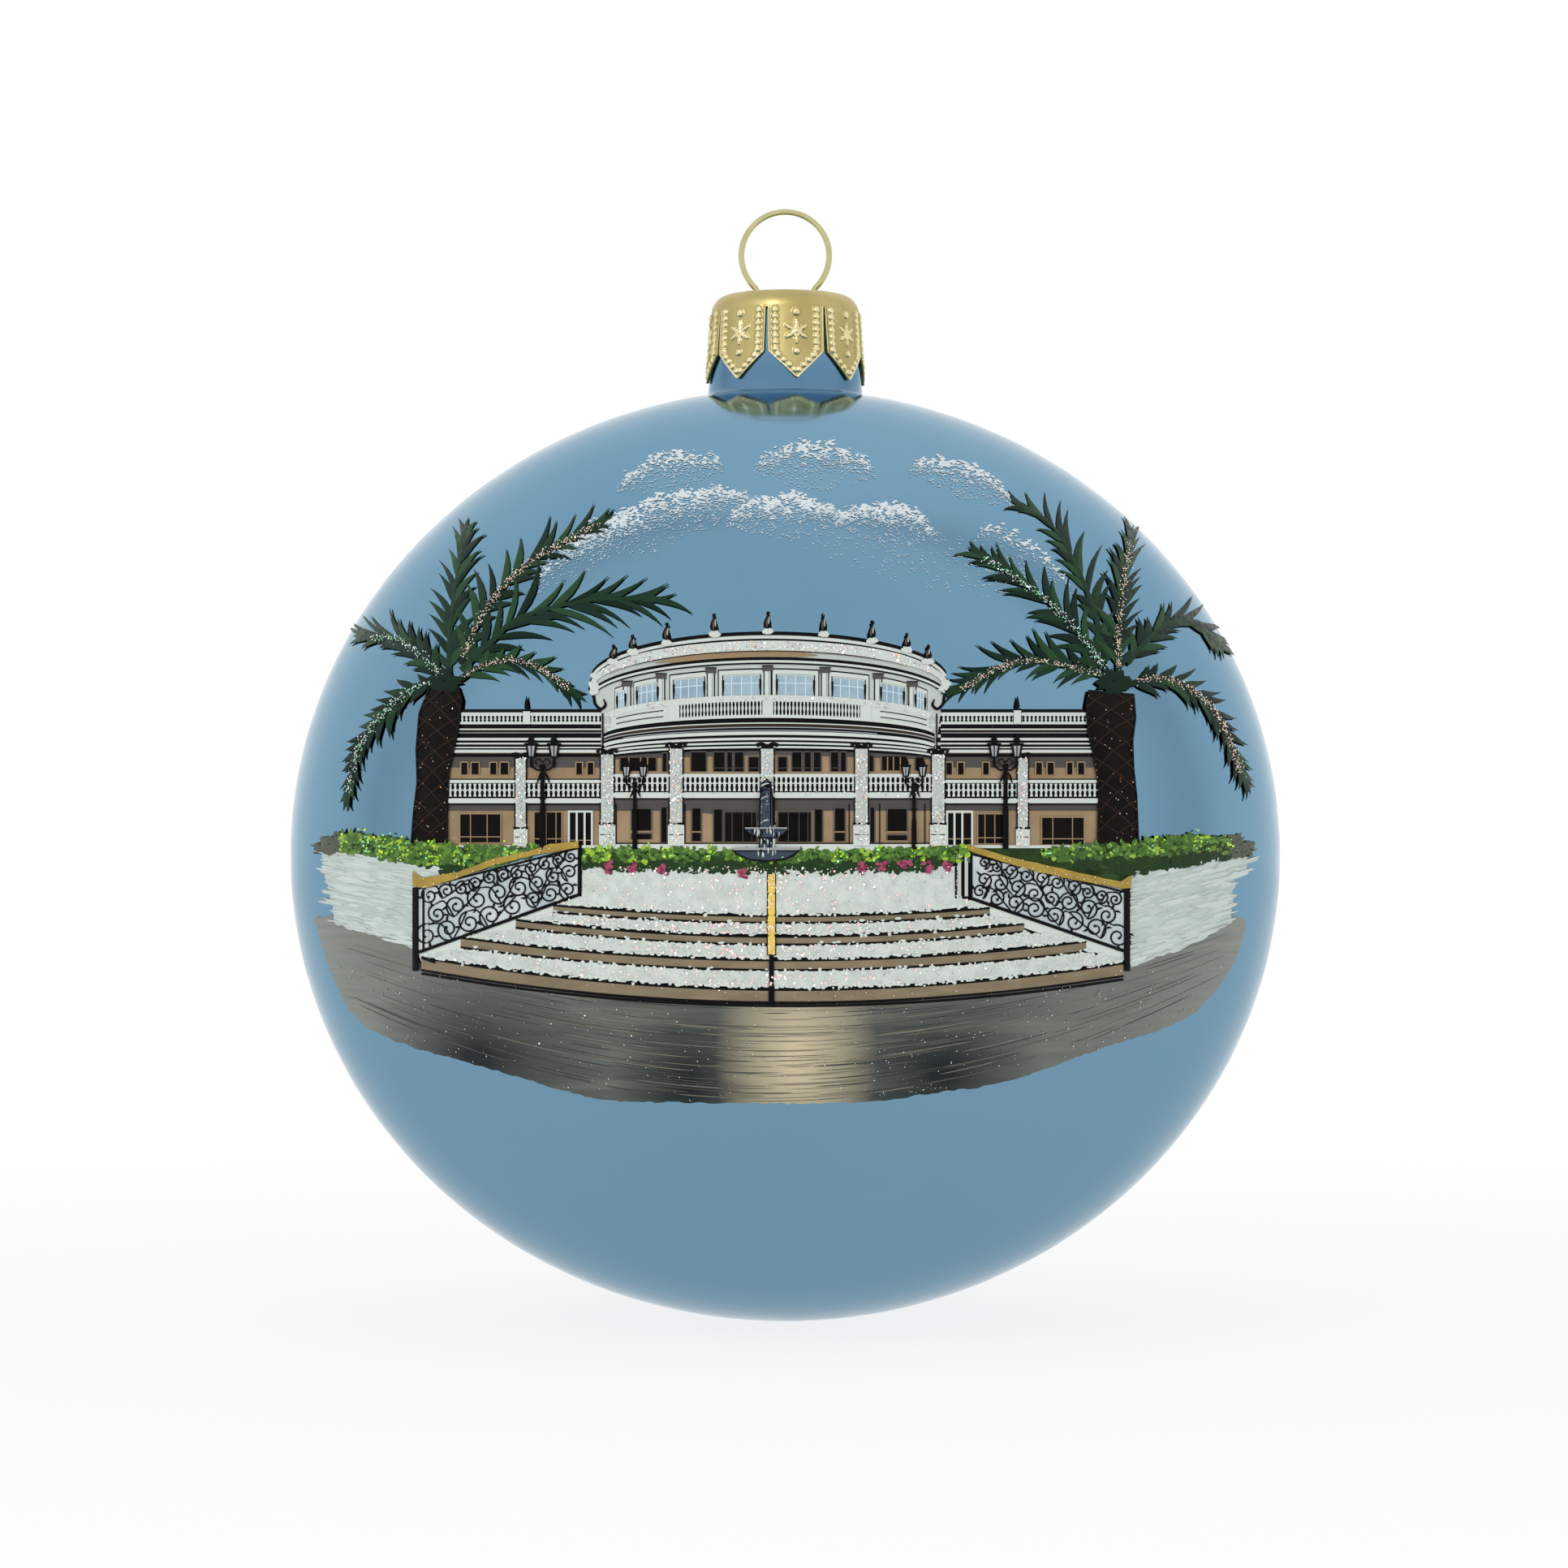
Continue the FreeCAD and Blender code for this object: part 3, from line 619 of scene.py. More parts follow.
def cap_top(rim, start):
    """The flat top inside the rim, with the two wire holes; start is its first point."""
    flat, edges = list(rim), [(j, (j + 1) % len(rim)) for j in range(len(rim))]
    holes = [Vector((side * hole_offset(), 0)) for side in (-1, 1)]
    walls = []
    for centre in holes:
        wall = [(len(flat) + j, len(flat) + (j + 1) % HOLE_SIDES) for j in range(HOLE_SIDES)]
        flat += circle(WIRE_HOLE_RADIUS, HOLE_SIDES, centre)
        walls += wall
    for reach in np.arange(TOP_GRID, CAP_RADIUS - CAP_SHOULDER - 0.3, TOP_GRID):
        ring = circle(reach, max(6, int(2 * math.pi * reach / TOP_GRID)))
        flat += [p for p in ring if all((p - centre).length > WIRE_HOLE_RADIUS + 0.2 for centre in holes)]
    verts, _, tris, *_ = geometry.delaunay_2d_cdt(flat, edges + walls, [], 0, 1e-7)
    points = [raised_to_frame(p.x, p.y, z) for z in (CAP_TOP_Z, CAP_TOP_Z - CAP_SHEET) for p in verts]
    below = start + len(verts)
    faces = []
    for tri in tris:
        middle = sum((verts[i] for i in tri), Vector((0, 0))) / len(tri)
        if all((middle - centre).length > WIRE_HOLE_RADIUS * 0.98 for centre in holes):
            faces += [tuple(start + i for i in tri), tuple(below + i for i in reversed(tri))]
    faces += [(start + b, start + a, below + a, below + b) for a, b in walls]
    return points, faces


def make_cap():
    outer, inner, raised = cap_skins()
    under = len(outer)
    points, faces = outer + inner, cap_side(under)
    rim = [Vector(p[:2]) / MM for p in outer[-PETALS * PETAL_POINTS:]]
    top_points, top_faces = cap_top(rim, len(points))
    faces += top_faces
    # embossed beads and raised edges take a much lighter gold: a painted highlight, with a smoother gloss of
    # their own
    bead_highlight_faces = [int(all(i < under and raised[i] for i in face)) for face in faces]
    gold = Finish("gold_cap", 0.3, 1.0)
    gold.colour(gold.clouded(gold.noise(160, 4), (174, 159, 103), (194, 180, 123)))
    gold.rough(gold.noise(900, 3), 0.32, 0.48).bump(gold.noise(1400, 2), 0.004, 0.3)
    bead_highlight = Finish("gold_cap_bead_highlight", 0.16, 1.0)
    bead_highlight.colour(bead_highlight.clouded(bead_highlight.noise(160, 4), (222, 204, 148), (240, 226, 178)))
    bead_highlight.rough(bead_highlight.noise(900, 3), 0.12, 0.24)
    tones = [gold.material, bead_highlight.material]
    cap = modelled("stamped_cap", points + top_points, faces, tones, "cap", ["cap"], bead_highlight_faces)
    cap.modifiers.new("weld", "WELD").merge_threshold = 0.002 * MM


# ---- Wire ---------------------------------------------------------------------------------------
WIRE_RADIUS, LOOP_RADIUS, LOOP_CENTRE_Z = 0.3, 4.46, 60.9
LOOP_END_ANGLE, PINCH_RADIUS, LEG_SPLAY, KNEE_RADIUS = 45.0, 1.0, 16.0, 1.5
KNEE_REACH, TOE_IN, TOE_LENGTH = 5.68, 8.0, 8.0
WIRE_SIDES = 20


def hole_offset():
    reach, angle = LOOP_RADIUS + PINCH_RADIUS, math.radians(LOOP_END_ANGLE)
    x, z = reach * math.sin(angle), LOOP_CENTRE_Z - reach * math.cos(angle)
    return x - math.sqrt(PINCH_RADIUS ** 2 - (CAP_TOP_Z - CAP_SHEET / 2 - z) ** 2)


def half_wire():
    """Half the wire's centreline, from the loop's top down the right leg, as x, z and heading."""
    x, z, heading = 0.0, LOOP_CENTRE_Z + LOOP_RADIUS, 0.0
    splay = math.radians(LEG_SPLAY)
    path = [(x, z, heading)]

    def arc(radius, turn, steps):
        nonlocal x, z, heading
        side = math.copysign(1, turn)
        cx, cz = x - side * radius * math.sin(heading), z + side * radius * math.cos(heading)
        for _ in range(steps):
            heading += math.radians(turn) / steps
            x, z = cx + side * radius * math.sin(heading), cz - side * radius * math.cos(heading)
            path.append((x, z, heading))

    def straight(length):
        nonlocal x, z
        x, z = x + length * math.cos(heading), z + length * math.sin(heading)
        path.append((x, z, heading))

    arc(LOOP_RADIUS, LOOP_END_ANGLE - 180, 56)
    arc(PINCH_RADIUS, LOOP_END_ANGLE + LEG_SPLAY, 12)
    straight((KNEE_REACH - KNEE_RADIUS * (1 - math.cos(splay)) - x) / math.sin(splay))
    arc(KNEE_RADIUS, -(LEG_SPLAY + TOE_IN), 8)
    straight(TOE_LENGTH)
    return path


def make_wire():
    right = half_wire()
    path = [(-x, z, -heading) for x, z, heading in right[:0:-1]] + right
    points = []
    for x, z, heading in path:
        for out, across in circle(WIRE_RADIUS, WIRE_SIDES):
            points.append(raised_to_frame(x - out * math.sin(heading), across, z + out * math.cos(heading)))
    end = len(points) - WIRE_SIDES
    faces = bridged(len(path), WIRE_SIDES)
    faces += [tuple(reversed(range(WIRE_SIDES))), tuple(range(end, end + WIRE_SIDES))]
    wire = Finish("pale_gold_wire", 0.25, 1.0)
    wear = wire.noise(420, 3)
    wire.colour(wire.clouded(wear, (184, 179, 128), (206, 201, 154))).rough(wear, 0.2, 0.34)
    modelled("spring_wire", points, faces, [wire.material], "hanger", ["wire_hanger"])


# ---- Sky and road -------------------------------------------------------------------------------
# Each cloud as the left end, crest and right end of its upper edge, its depth and its number of dabs.
CLOUD_BANKS = [
    ((-16.6, 38.2), (-11.8, 40.8), (-6.8, 40.2), 2.4, 310),
    ((-2.6, 40.0), (2.8, 41.8), (8.6, 39.6), 2.4, 400),
    ((13.0, 39.9), (17.2, 40.0), (23.0, 36.8), 2.4, 310),
    ((-21.5, 31.4), (-11.8, 36.7), (-3.8, 36.8), 3.2, 820),
    ((-5.4, 34.7), (0.2, 36.6), (5.6, 34.8), 3.0, 560),
    ((5.4, 34.5), (9.6, 36.0), (15.0, 33.4), 2.8, 460),
    ((-25.6, 27.8), (-22.0, 32.0), (-15.6, 34.4), 2.6, 260),
    ((19.8, 33.6), (24.6, 32.2), (28.8, 28.0), 3.0, 130),
]


def cloud_bank(dense, thin, left, crest, right, depth, count):
    """Dabs crowd under a bowed upper edge and thin out towards a nearly level foot."""
    top = np.array(bow(left, crest, right, 40))

    def upper_edge(u):
        return float(np.interp(u, top[:, 0], top[:, 1])) + 0.6 * ripple((u, 0), 2.4, crest[0])

    def local_depth(u):
        foot = left[1] + (right[1] - left[1]) * (u - left[0]) / (right[0] - left[0]) - 0.6
        return max(0.7, min(depth * 1.2, upper_edge(u) - foot))

    for _ in range(int(count * 1.25)):
        along = dice.random()
        u = left[0] + (right[0] - left[0]) * along
        share = dice.random() ** 1.3
        v = upper_edge(u) - local_depth(u) * share + 0.25 * ripple((u, 0), 0.8, 1.0) + dice.gauss(0, 0.24)
        size = (0.06 + 0.15 * (1 - share) * dice.random()) * (0.6 + 0.4 * math.sin(math.pi * along))
        tone, paint = (CLOUD, dense) if share + dice.gauss(0, 0.25) < 0.6 else (CLOUD_THIN, thin)
        paint.blob(u, v, size * dice.uniform(1.0, 2.6), size * dice.uniform(0.45, 0.9), tone, 0, 0.02,
                   dice.gauss(0, 0.35), 6, 0.4)
    for _ in range(int(count * 0.6)):
        u = left[0] + (right[0] - left[0]) * dice.uniform(-0.05, 1.05)
        v = upper_edge(u) - local_depth(u) * dice.uniform(0.4, 1.8)
        thin.blob(u, v, dice.uniform(0.05, 0.13), dice.uniform(0.04, 0.08), CLOUD_THIN, 0, 0.02, sides=5)


def make_clouds():
    dense = Paint("cloud_dabs", "cloud_white", "cloud_paint")
    thin = Paint("cloud_spray", "cloud_white")
    for bank in CLOUD_BANKS:
        cloud_bank(dense, thin, *bank)
    for u, v in scatter([(-4, 33.5), (8, 32.5), (16, 33), (25, 30), (22, 26), (12, 27.5), (2, 31)], 260):
        thin.blob(u, v, dice.uniform(0.05, 0.14), 0.06, CLOUD_THIN, 0, 0.03, sides=5)
    for u, v in scatter([(-30, 24), (-20, 27), (0, 26), (26, 22), (40, 0), (-42, 0)], 60):
        thin.blob(u, v, 0.07, 0.05, CLOUD_THIN, 0, 0.02, sides=5)
    dense.piece()
    thin.piece()


ROAD = [(-48.0, -6.4), (-44.0, -6.2), (-37.0, -8.0), (-35.0, -11.5), (-1.8, -14.0), (33.0, -11.5),
        (35.5, -9.0), (41.4, -6.5), (46.2, -6.3), (46.6, -8.0), (44.7, -12.5), (40.6, -16.7), (33.2, -19.3),
        (23.3, -22.8), (15.0, -24.2), (6.0, -25.2), (-13.8, -25.1), (-20.4, -24.5), (-30.3, -21.6),
        (-40.2, -18.7), (-44.8, -15.0)]


def road_colour(coat):
    """Brushed bands, with painted reflections: a bright painted highlight in the middle, dark painted
    reflections beside it and lighter painted ends.
    """
    tint = coat.clouded(coat.noise(60, 5, (1, 1, 16)), (62, 70, 70), (102, 104, 96), 0.35)
    # painted light: the bright middle spot, the dark patches beside it and the lighter ends stand in for
    # reflections in the metallic paint
    painted_light_ends, painted_dark_reflection, painted_highlight = (132, 136, 128), (26, 34, 36), (204, 192, 160)
    tint = coat.mixed(coat.halo((0, -40, 27), (52, 60, 60)), linear(painted_light_ends), tint)
    for centre, size, shade in (((-29, -36, 28), (13, 26, 9), painted_dark_reflection), ((14.5, -43, 27), (10, 26, 8), painted_dark_reflection),
                                ((-9, -44, 26), (7, 20, 8), painted_dark_reflection), ((1, -46, 28.5), (7.5, 26, 13), painted_highlight)):
        tint = coat.mixed(coat.halo(centre, size), tint, linear(shade))
    return tint


def make_road():
    coat = Finish("road_silver_grey", 0.42, 0.75)
    coat.colour(road_colour(coat))
    streak = coat.noise(90, 4, (1, 1, 22))
    coat.rough(streak, 0.34, 0.52).bump(streak, 0.05, 0.5)
    road = Paint("road_coat", "road_grey", "road_paint")
    road.area(smooth(ROAD + ROAD[:1], 4)[:-1], coat.material, 0, 0.8, ragged=0.2)
    road.piece()

    streaks = Paint("road_brush_streaks", "road_grey")
    tones = [enamel("road_streak_dark", (64, 69, 68), 0.45, 0.7),
             enamel("road_streak_mid", (98, 100, 92), 0.4, 0.8),
             enamel("road_streak_light", (130, 127, 113), 0.38, 0.85)]
    top = np.array(bow((-46, -8.2), (-1.8, -15.6), (46, -7.6), 60))
    foot = np.array(bow((-44, -15.0), (-1.8, -25.2), (44.5, -12.6), 60))
    for _ in range(420):
        depth = dice.random()
        start = dice.uniform(-45, 40)
        end = start + dice.uniform(3, 12)
        path = []
        for u in np.arange(start, min(end, 45.5), 1.0):
            above, below = np.interp(u, top[:, 0], top[:, 1]), np.interp(u, foot[:, 0], foot[:, 1])
            v = (1 - depth) * above + depth * below
            path.append((u, v))
        if len(path) < 3 or not inside(path, ROAD).all():
            continue
        middle = path[len(path) // 2][0]
        if abs(middle + 1.8) > 24 and dice.random() < 0.75:
            continue
        # light streaks crowd round the painted highlight in the middle of the road
        tone = tones[2] if abs(middle - 1) < 6 and dice.random() < 0.6 else dice.choice(tones[:2] + tones)
        streaks.stroke(path, dice.uniform(0.03, 0.08), tone, 1, 0.006, (0.1, 0.1))
    streaks.piece()

    sparkle = Paint("road_sparkle", "road_grey")
    sparkle.flakes([p for p in scatter(ROAD, 900) if p[1] < -11], (0.06, 0.13),
                   [chip("road_fleck", (190, 186, 170), 0.3), SILVER_CHIP], height(1))
    sparkle.piece(False)


# ---- Mansion ------------------------------------------------------------------------------------
DRUM_MIDDLE, DRUM_RADIUS, BRIM_RADIUS = -1.65, 17.3, 18.0


def on_drum(angle, v, radius=DRUM_RADIUS):
    """Picture point on the round front: higher lines bow up in the middle."""
    turn = math.radians(angle)
    return (DRUM_MIDDLE + radius * math.sin(turn), v - (0.3 * v - 2.2) * (1 - math.cos(turn)))


def drum_line(paint, v, width, tone, level, start=-80, end=80, radius=DRUM_RADIUS, ends=(1, 1), relief=0.015):
    path = [on_drum(a, v, radius) for a in np.linspace(start, end, max(3, int(abs(end - start) / 4)))]
    paint.stroke(path, width, tone, level, relief, ends)


def drum_patch(paint, start, end, bottom, top, tone, level, radius=DRUM_RADIUS):
    low = [on_drum(a, bottom, radius) for a in np.linspace(start, end, max(2, int((end - start) / 5) + 1))]
    high = [on_drum(a, top, radius) for a in np.linspace(end, start, max(2, int((end - start) / 5) + 1))]
    paint.area(low + high, tone, level, 1.3)


def upright(paint, u, bottom, top, width, tone, level, relief=0.015, ends=(1, 1)):
    paint.stroke([(u, bottom), (u, top)], width, tone, level, relief, ends)


def level_line(paint, left, right, v, width, tone, level, relief=0.015, ends=(1, 1)):
    paint.stroke([(left, v), (right, v)], width, tone, level, relief, ends)


def balusters(paint, left, right, bottom, top, pitch, tone, level):
    """A row of small turned posts between two rails."""
    count = max(1, round((right - left) / pitch))
    middle = (bottom + top) / 2
    for i in range(count):
        u = left + (right - left) * (i + 0.5) / count
        low = [(u, bottom), (u, (bottom + middle) / 2), (u, middle), (u, (top + middle) / 2), (u, top)]
        widths = np.array([0.62, 0.34, 0.62, 0.34, 0.62]) * pitch
        paint.ribbon(low, widths, tone, level, 0.03)


def column(paint, glitter, u, bottom, top, width, base_top):
    """A snowed white column with a dark scrolled capital and a block foot."""
    upright(paint, u, bottom, top, width + 0.3, BLACK, 6)
    upright(paint, u, bottom, top - 0.1, width, SOFT_WHITE, 7, 0.06)
    for side in (-1, 1):
        paint.leaf((u, top + 0.15), (u + side * width * 0.95, top + 0.4), 0.3, BLACK, 8, 0.25 * side)
        paint.blob(u + side * width * 0.75, top + 0.22, 0.2, 0.17, BLACK, 8)
    level_line(paint, u - width / 2, u + width / 2, top + 0.12, 0.34, BLACK, 8)
    paint.stroke([(u - width / 2 - 0.25, base_top), (u + width / 2 + 0.25, base_top)], 0.2, BLACK, 9)
    paint.stroke([(u, bottom), (u, base_top - 0.15)], width + 0.4, WHITE, 8, 0.06)
    level_line(paint, u - width / 2 - 0.1, u + width / 2 + 0.1, (bottom + base_top) / 2, 0.09, BLACK, 10,
               0.02)
    glitter.flakes(scatter(box(u - width / 2, bottom, u + width / 2, top), int(13 * (top - bottom) * width)),
                   (0.1, 0.24), SNOW_CHIPS, height(11))


def dark_window(paint, left, bottom, right, top, level=3, frame_tone=None, bars=(), rails=()):
    paint.area(box(left, bottom, right, top), GLASS_DARK, level, 1.3)
    for u in bars:
        upright(paint, u, bottom, top, 0.1, frame_tone or TAN_LINE, level + 1)
    for v in rails:
        level_line(paint, left, right, v, 0.1, frame_tone or TAN_LINE, level + 1)
    if frame_tone:
        for u in (left, right):
            upright(paint, u, bottom, top, 0.13, frame_tone, level + 2)
        level_line(paint, left, right, top, 0.13, frame_tone, level + 2)


def make_drum(lines, glitter):
    wall = Paint("mansion_drum_wall", "stone_enamel", "mansion_drum_paint")
    rim = [on_drum(a, 22.7, BRIM_RADIUS) for a in np.linspace(-86, 86, 40)]
    foot = [on_drum(a, 10.8, 17.1) for a in np.linspace(80, -80, 30)]
    wall.area(rim + foot, SOFT_WHITE, 0, 1.2)
    wall.piece()

    for v, width, tone, level in ((22.55, 0.36, BLACK, 2), (22.16, 0.3, WHITE, 3), (21.9, 0.16, BLACK, 2),
                                  (19.98, 0.3, BLACK, 3), (19.7, 0.22, WHITE, 4), (19.48, 0.14, BLACK, 3)):
        drum_line(lines, v, width, tone, level, -84, 84, BRIM_RADIUS)
    drum_line(lines, 21.3, 1.0, WHITE, 4, -84, 84, BRIM_RADIUS, (0.5, 0.5), 0.12)
    drum_line(lines, 20.45, 0.62, TAN_LINE, 3, -40, 16, BRIM_RADIUS, (0.1, 0.1))
    drum_line(lines, 20.75, 0.1, BROWN_INK, 5, -62, 50, BRIM_RADIUS, (0.2, 0.2))
    brim = [on_drum(a, 21.75, BRIM_RADIUS) for a in np.linspace(-80, 80, 40)]
    brim += [on_drum(a, 20.85, BRIM_RADIUS) for a in np.linspace(80, -80, 40)]
    glitter.flakes(scatter(brim, 330), (0.1, 0.26), SNOW_CHIPS, height(9))
    for side in (-1, 1):
        u, v = on_drum(side * 82, 20.7, BRIM_RADIUS)
        for _ in range(9):
            lines.blob(u + dice.gauss(0, 0.16), v + dice.gauss(0, 0.4), 0.38, 0.3, WHITE, 5, 0.08)
        curl = [(0.25, 0.7), (0.4, -0.3), (0, -1.2), (-0.15, -1.9), (-0.7, -2.4), (-1.2, -2.0), (-1.0, -1.4)]
        lines.stroke(smooth([(u + side * du, v + dv) for du, dv in curl]), 0.3, BLACK, 4, 0.03, (0.5, 0.4))

    for middle, half in ((-60.4, 3.2), (-45.9, 5.4), (-28.2, 6.2), (-9.3, 6.7), (9.0, 6.7), (28.1, 6.6),
                         (46.8, 6.0), (63, 4.0)):
        left, right = middle - half, middle + half
        drum_patch(lines, left - 1.5, right + 1.5, 16.1, 19.0, BLACK, 1)
        drum_patch(lines, left - 1.1, right + 1.1, 16.1, 18.85, WHITE, 2)
        drum_patch(lines, left, right, 16.25, 18.4, BLACK, 3)
        drum_patch(lines, left + 0.4, right - 0.4, 16.25, 18.3, PANE, 4)
        for share in (0.25, 0.5, 0.75):
            angle = left + (right - left) * share
            lines.stroke([on_drum(angle, 16.25), on_drum(angle, 18.25)], 0.11, PALE_BLUE, 5)
        drum_line(lines, 17.5, 0.11, PALE_BLUE, 5, left + 0.4, right - 0.4)
        drum_line(lines, 18.32, 0.1, WHITE, 5, left + 0.4, right - 0.4)
        for angle in (left + 0.35, right - 0.35):
            lines.stroke([on_drum(angle, 16.3), on_drum(angle, 17.9)], 0.22, BLACK, 6, 0.015, (0.3, 1))
    for angle in (-56.6, -39.4, -20.0, -0.5, 19.2, 39.9, 57.4):
        for offset, width, tone, level in ((0, 0.86, BLACK, 2), (0, 0.6, WHITE, 3),
                                           (0.55, 0.1, PALE_GREY, 4)):
            lines.stroke([on_drum(angle + offset, 16.2), on_drum(angle + offset, 19.0)], width, tone, level)
        u, v = on_drum(angle, 18.95)
        lines.area(box(u - 0.55, v - 0.25, u + 0.55, v + 0.3), SHADE, 5, 1.3)
        lines.stroke([(u - 0.6, v + 0.3), (u + 0.6, v + 0.3)], 0.1, BLACK, 6)

    drum_patch(lines, -62, 62, 14.1, 15.8, BLACK, 5)
    drum_line(lines, 15.95, 0.62, WHITE, 7, -70, 72, relief=0.06)
    drum_line(lines, 14.1, 0.3, WHITE, 7, -72, 74, relief=0.04)
    for start, end in ((-31.6, -2.2), (1.4, 32.4)):
        count = int((end - start) / 1.22)
        for i in range(count):
            angle = start + (end - start) * (i + 0.5) / count
            low, high = on_drum(angle, 14.2), on_drum(angle, 15.7)
            path = [(low[0] + (high[0] - low[0]) * t, low[1] + (high[1] - low[1]) * t)
                    for t in (0, 0.25, 0.5, 0.75, 1)]
            lines.ribbon(path, np.array([0.22, 0.12, 0.24, 0.12, 0.22]), WHITE, 6, 0.03)
    for start, end in ((-36.4, -31.8), (-2.2, 1.4), (32.4, 36.8)):
        drum_patch(lines, start, end, 14.0, 16.1, WHITE, 8)
    for start, end in ((-68, -36.4), (36.8, 70)):
        drum_patch(lines, start, end, 14.0, 16.0, WHITE, 6)
        for v in (14.55, 15.2):
            drum_line(lines, v, 0.09, BLACK, 8, start + 4, end - 2)
    rail = [on_drum(a, 16.25) for a in np.linspace(-70, 72, 40)]
    rail += [on_drum(a, 15.65) for a in np.linspace(72, -70, 40)]
    glitter.flakes(scatter(rail, 150), (0.08, 0.2), SNOW_CHIPS, height(11))

    drum_patch(lines, -80, 80, 10.6, 13.95, BLACK, 3, 17.1)
    for v, width, tone in ((13.42, 0.12, WHITE), (13.2, 0.2, BROWN_INK), (13.0, 0.1, PALE_GREY),
                           (12.4, 0.34, WHITE), (11.82, 0.25, WHITE), (11.38, 0.2, WHITE),
                           (10.98, 0.2, WHITE)):
        drum_line(lines, v, width, tone, 4, -79, 79, 17.1, relief=0.03)
    drum_line(lines, 12.7, 0.08, PALE_GREY, 4, -60, 40, 17.1)
    for left, right, edge in ((-19.4, -17.4, -18.55), (14.2, 16.2, 15.4)):
        lines.area(box(left, 9.9, right, 14.4), BLACK, -1)
        for v in (14.25, 13.2, 12.1, 11.3, 10.6):
            level_line(lines, left, right, v, 0.28, WHITE, 0)
        upright(lines, edge, 10.0, 14.4, 0.16, BLACK, 6)


STATUES = [(-17.5, 19.9), (-15.5, 20.9), (-12.1, 21.8), (-7.2, 22.7), (-1.8, 22.95), (3.9, 22.7),
           (8.8, 22.0), (12.4, 21.1), (14.5, 19.9)]


def make_statues():
    figures = Paint("roof_statues", "statue_enamel", "roof_statue_paint")
    stone = [enamel("statue_stone", (84, 76, 70)), enamel("statue_light", (176, 170, 162))]
    for i, (u, foot) in enumerate(STATUES):
        tall = 1.95 if 1 < i < 7 else 1.55
        lean = 0.05 * (-1) ** i
        figures.blob(u, foot - 0.25, 0.62, 0.34, WHITE, 8, 0.1)
        figures.blob(u, foot - 0.02, 0.4, 0.2, WHITE, 9, 0.08)
        figures.leaf((u, foot - 0.05), (u + lean, foot + tall * 0.82), 0.82, BLACK, 10, 0.03, 0.06, 0.6)
        figures.blob(u + lean, foot + tall * 0.84, 0.21, 0.24, BLACK, 11, 0.08)
        figures.leaf((u - 0.03, foot + 0.1), (u + lean - 0.05, foot + tall * 0.66), 0.4, stone[0], 11, 0.02,
                     0.05)
        figures.leaf((u + 0.12, foot + 0.5), (u + 0.16 + lean, foot + tall * 0.7), 0.16, stone[1], 12)
        figures.blob(u + lean + 0.03, foot + tall * 0.86, 0.08, 0.1, stone[i % 2], 12)
    figures.piece()


# Dark windows of the middle block, as left, bottom, right and top.
UPPER_WINDOWS = [(-16.8, 8.55, -13.1, 9.95), (-12.5, 8.5, -12.0, 10.4), (-9.6, 8.5, -8.0, 10.5),
                 (-7.3, 8.5, -6.1, 10.5), (-5.95, 8.5, -5.35, 10.5), (-5.2, 8.5, -4.2, 10.5),
                 (-3.75, 8.5, -2.65, 10.0), (-0.75, 8.5, 0.2, 10.0), (0.65, 8.5, 1.7, 10.5),
                 (1.9, 8.5, 2.65, 10.5), (2.85, 8.5, 3.65, 10.5), (4.6, 8.5, 5.45, 10.5),
                 (5.6, 8.5, 6.2, 10.5), (8.5, 8.5, 9.0, 10.2), (9.8, 8.6, 12.4, 10.1),
                 (13.2, 8.6, 13.9, 10.0)]
GROUND_WINDOWS = [(-15.65, 2.5, -13.6, 4.75), (-15.65, 1.6, -13.6, 2.2), (-12.65, 1.3, -12.0, 4.9),
                  (-9.5, 1.4, -8.55, 4.8), (-7.3, 1.35, -6.35, 4.7), (-6.2, 1.35, -2.9, 4.4),
                  (-0.75, 1.35, 2.65, 4.4), (2.95, 1.35, 3.8, 4.7), (5.0, 1.4, 6.1, 4.8),
                  (8.6, 1.3, 9.1, 4.9), (10.35, 2.35, 12.4, 4.75), (10.35, 1.5, 12.4, 2.05)]
COLUMNS = [-18.1, -11.1, -1.83, 7.75, 15.55]


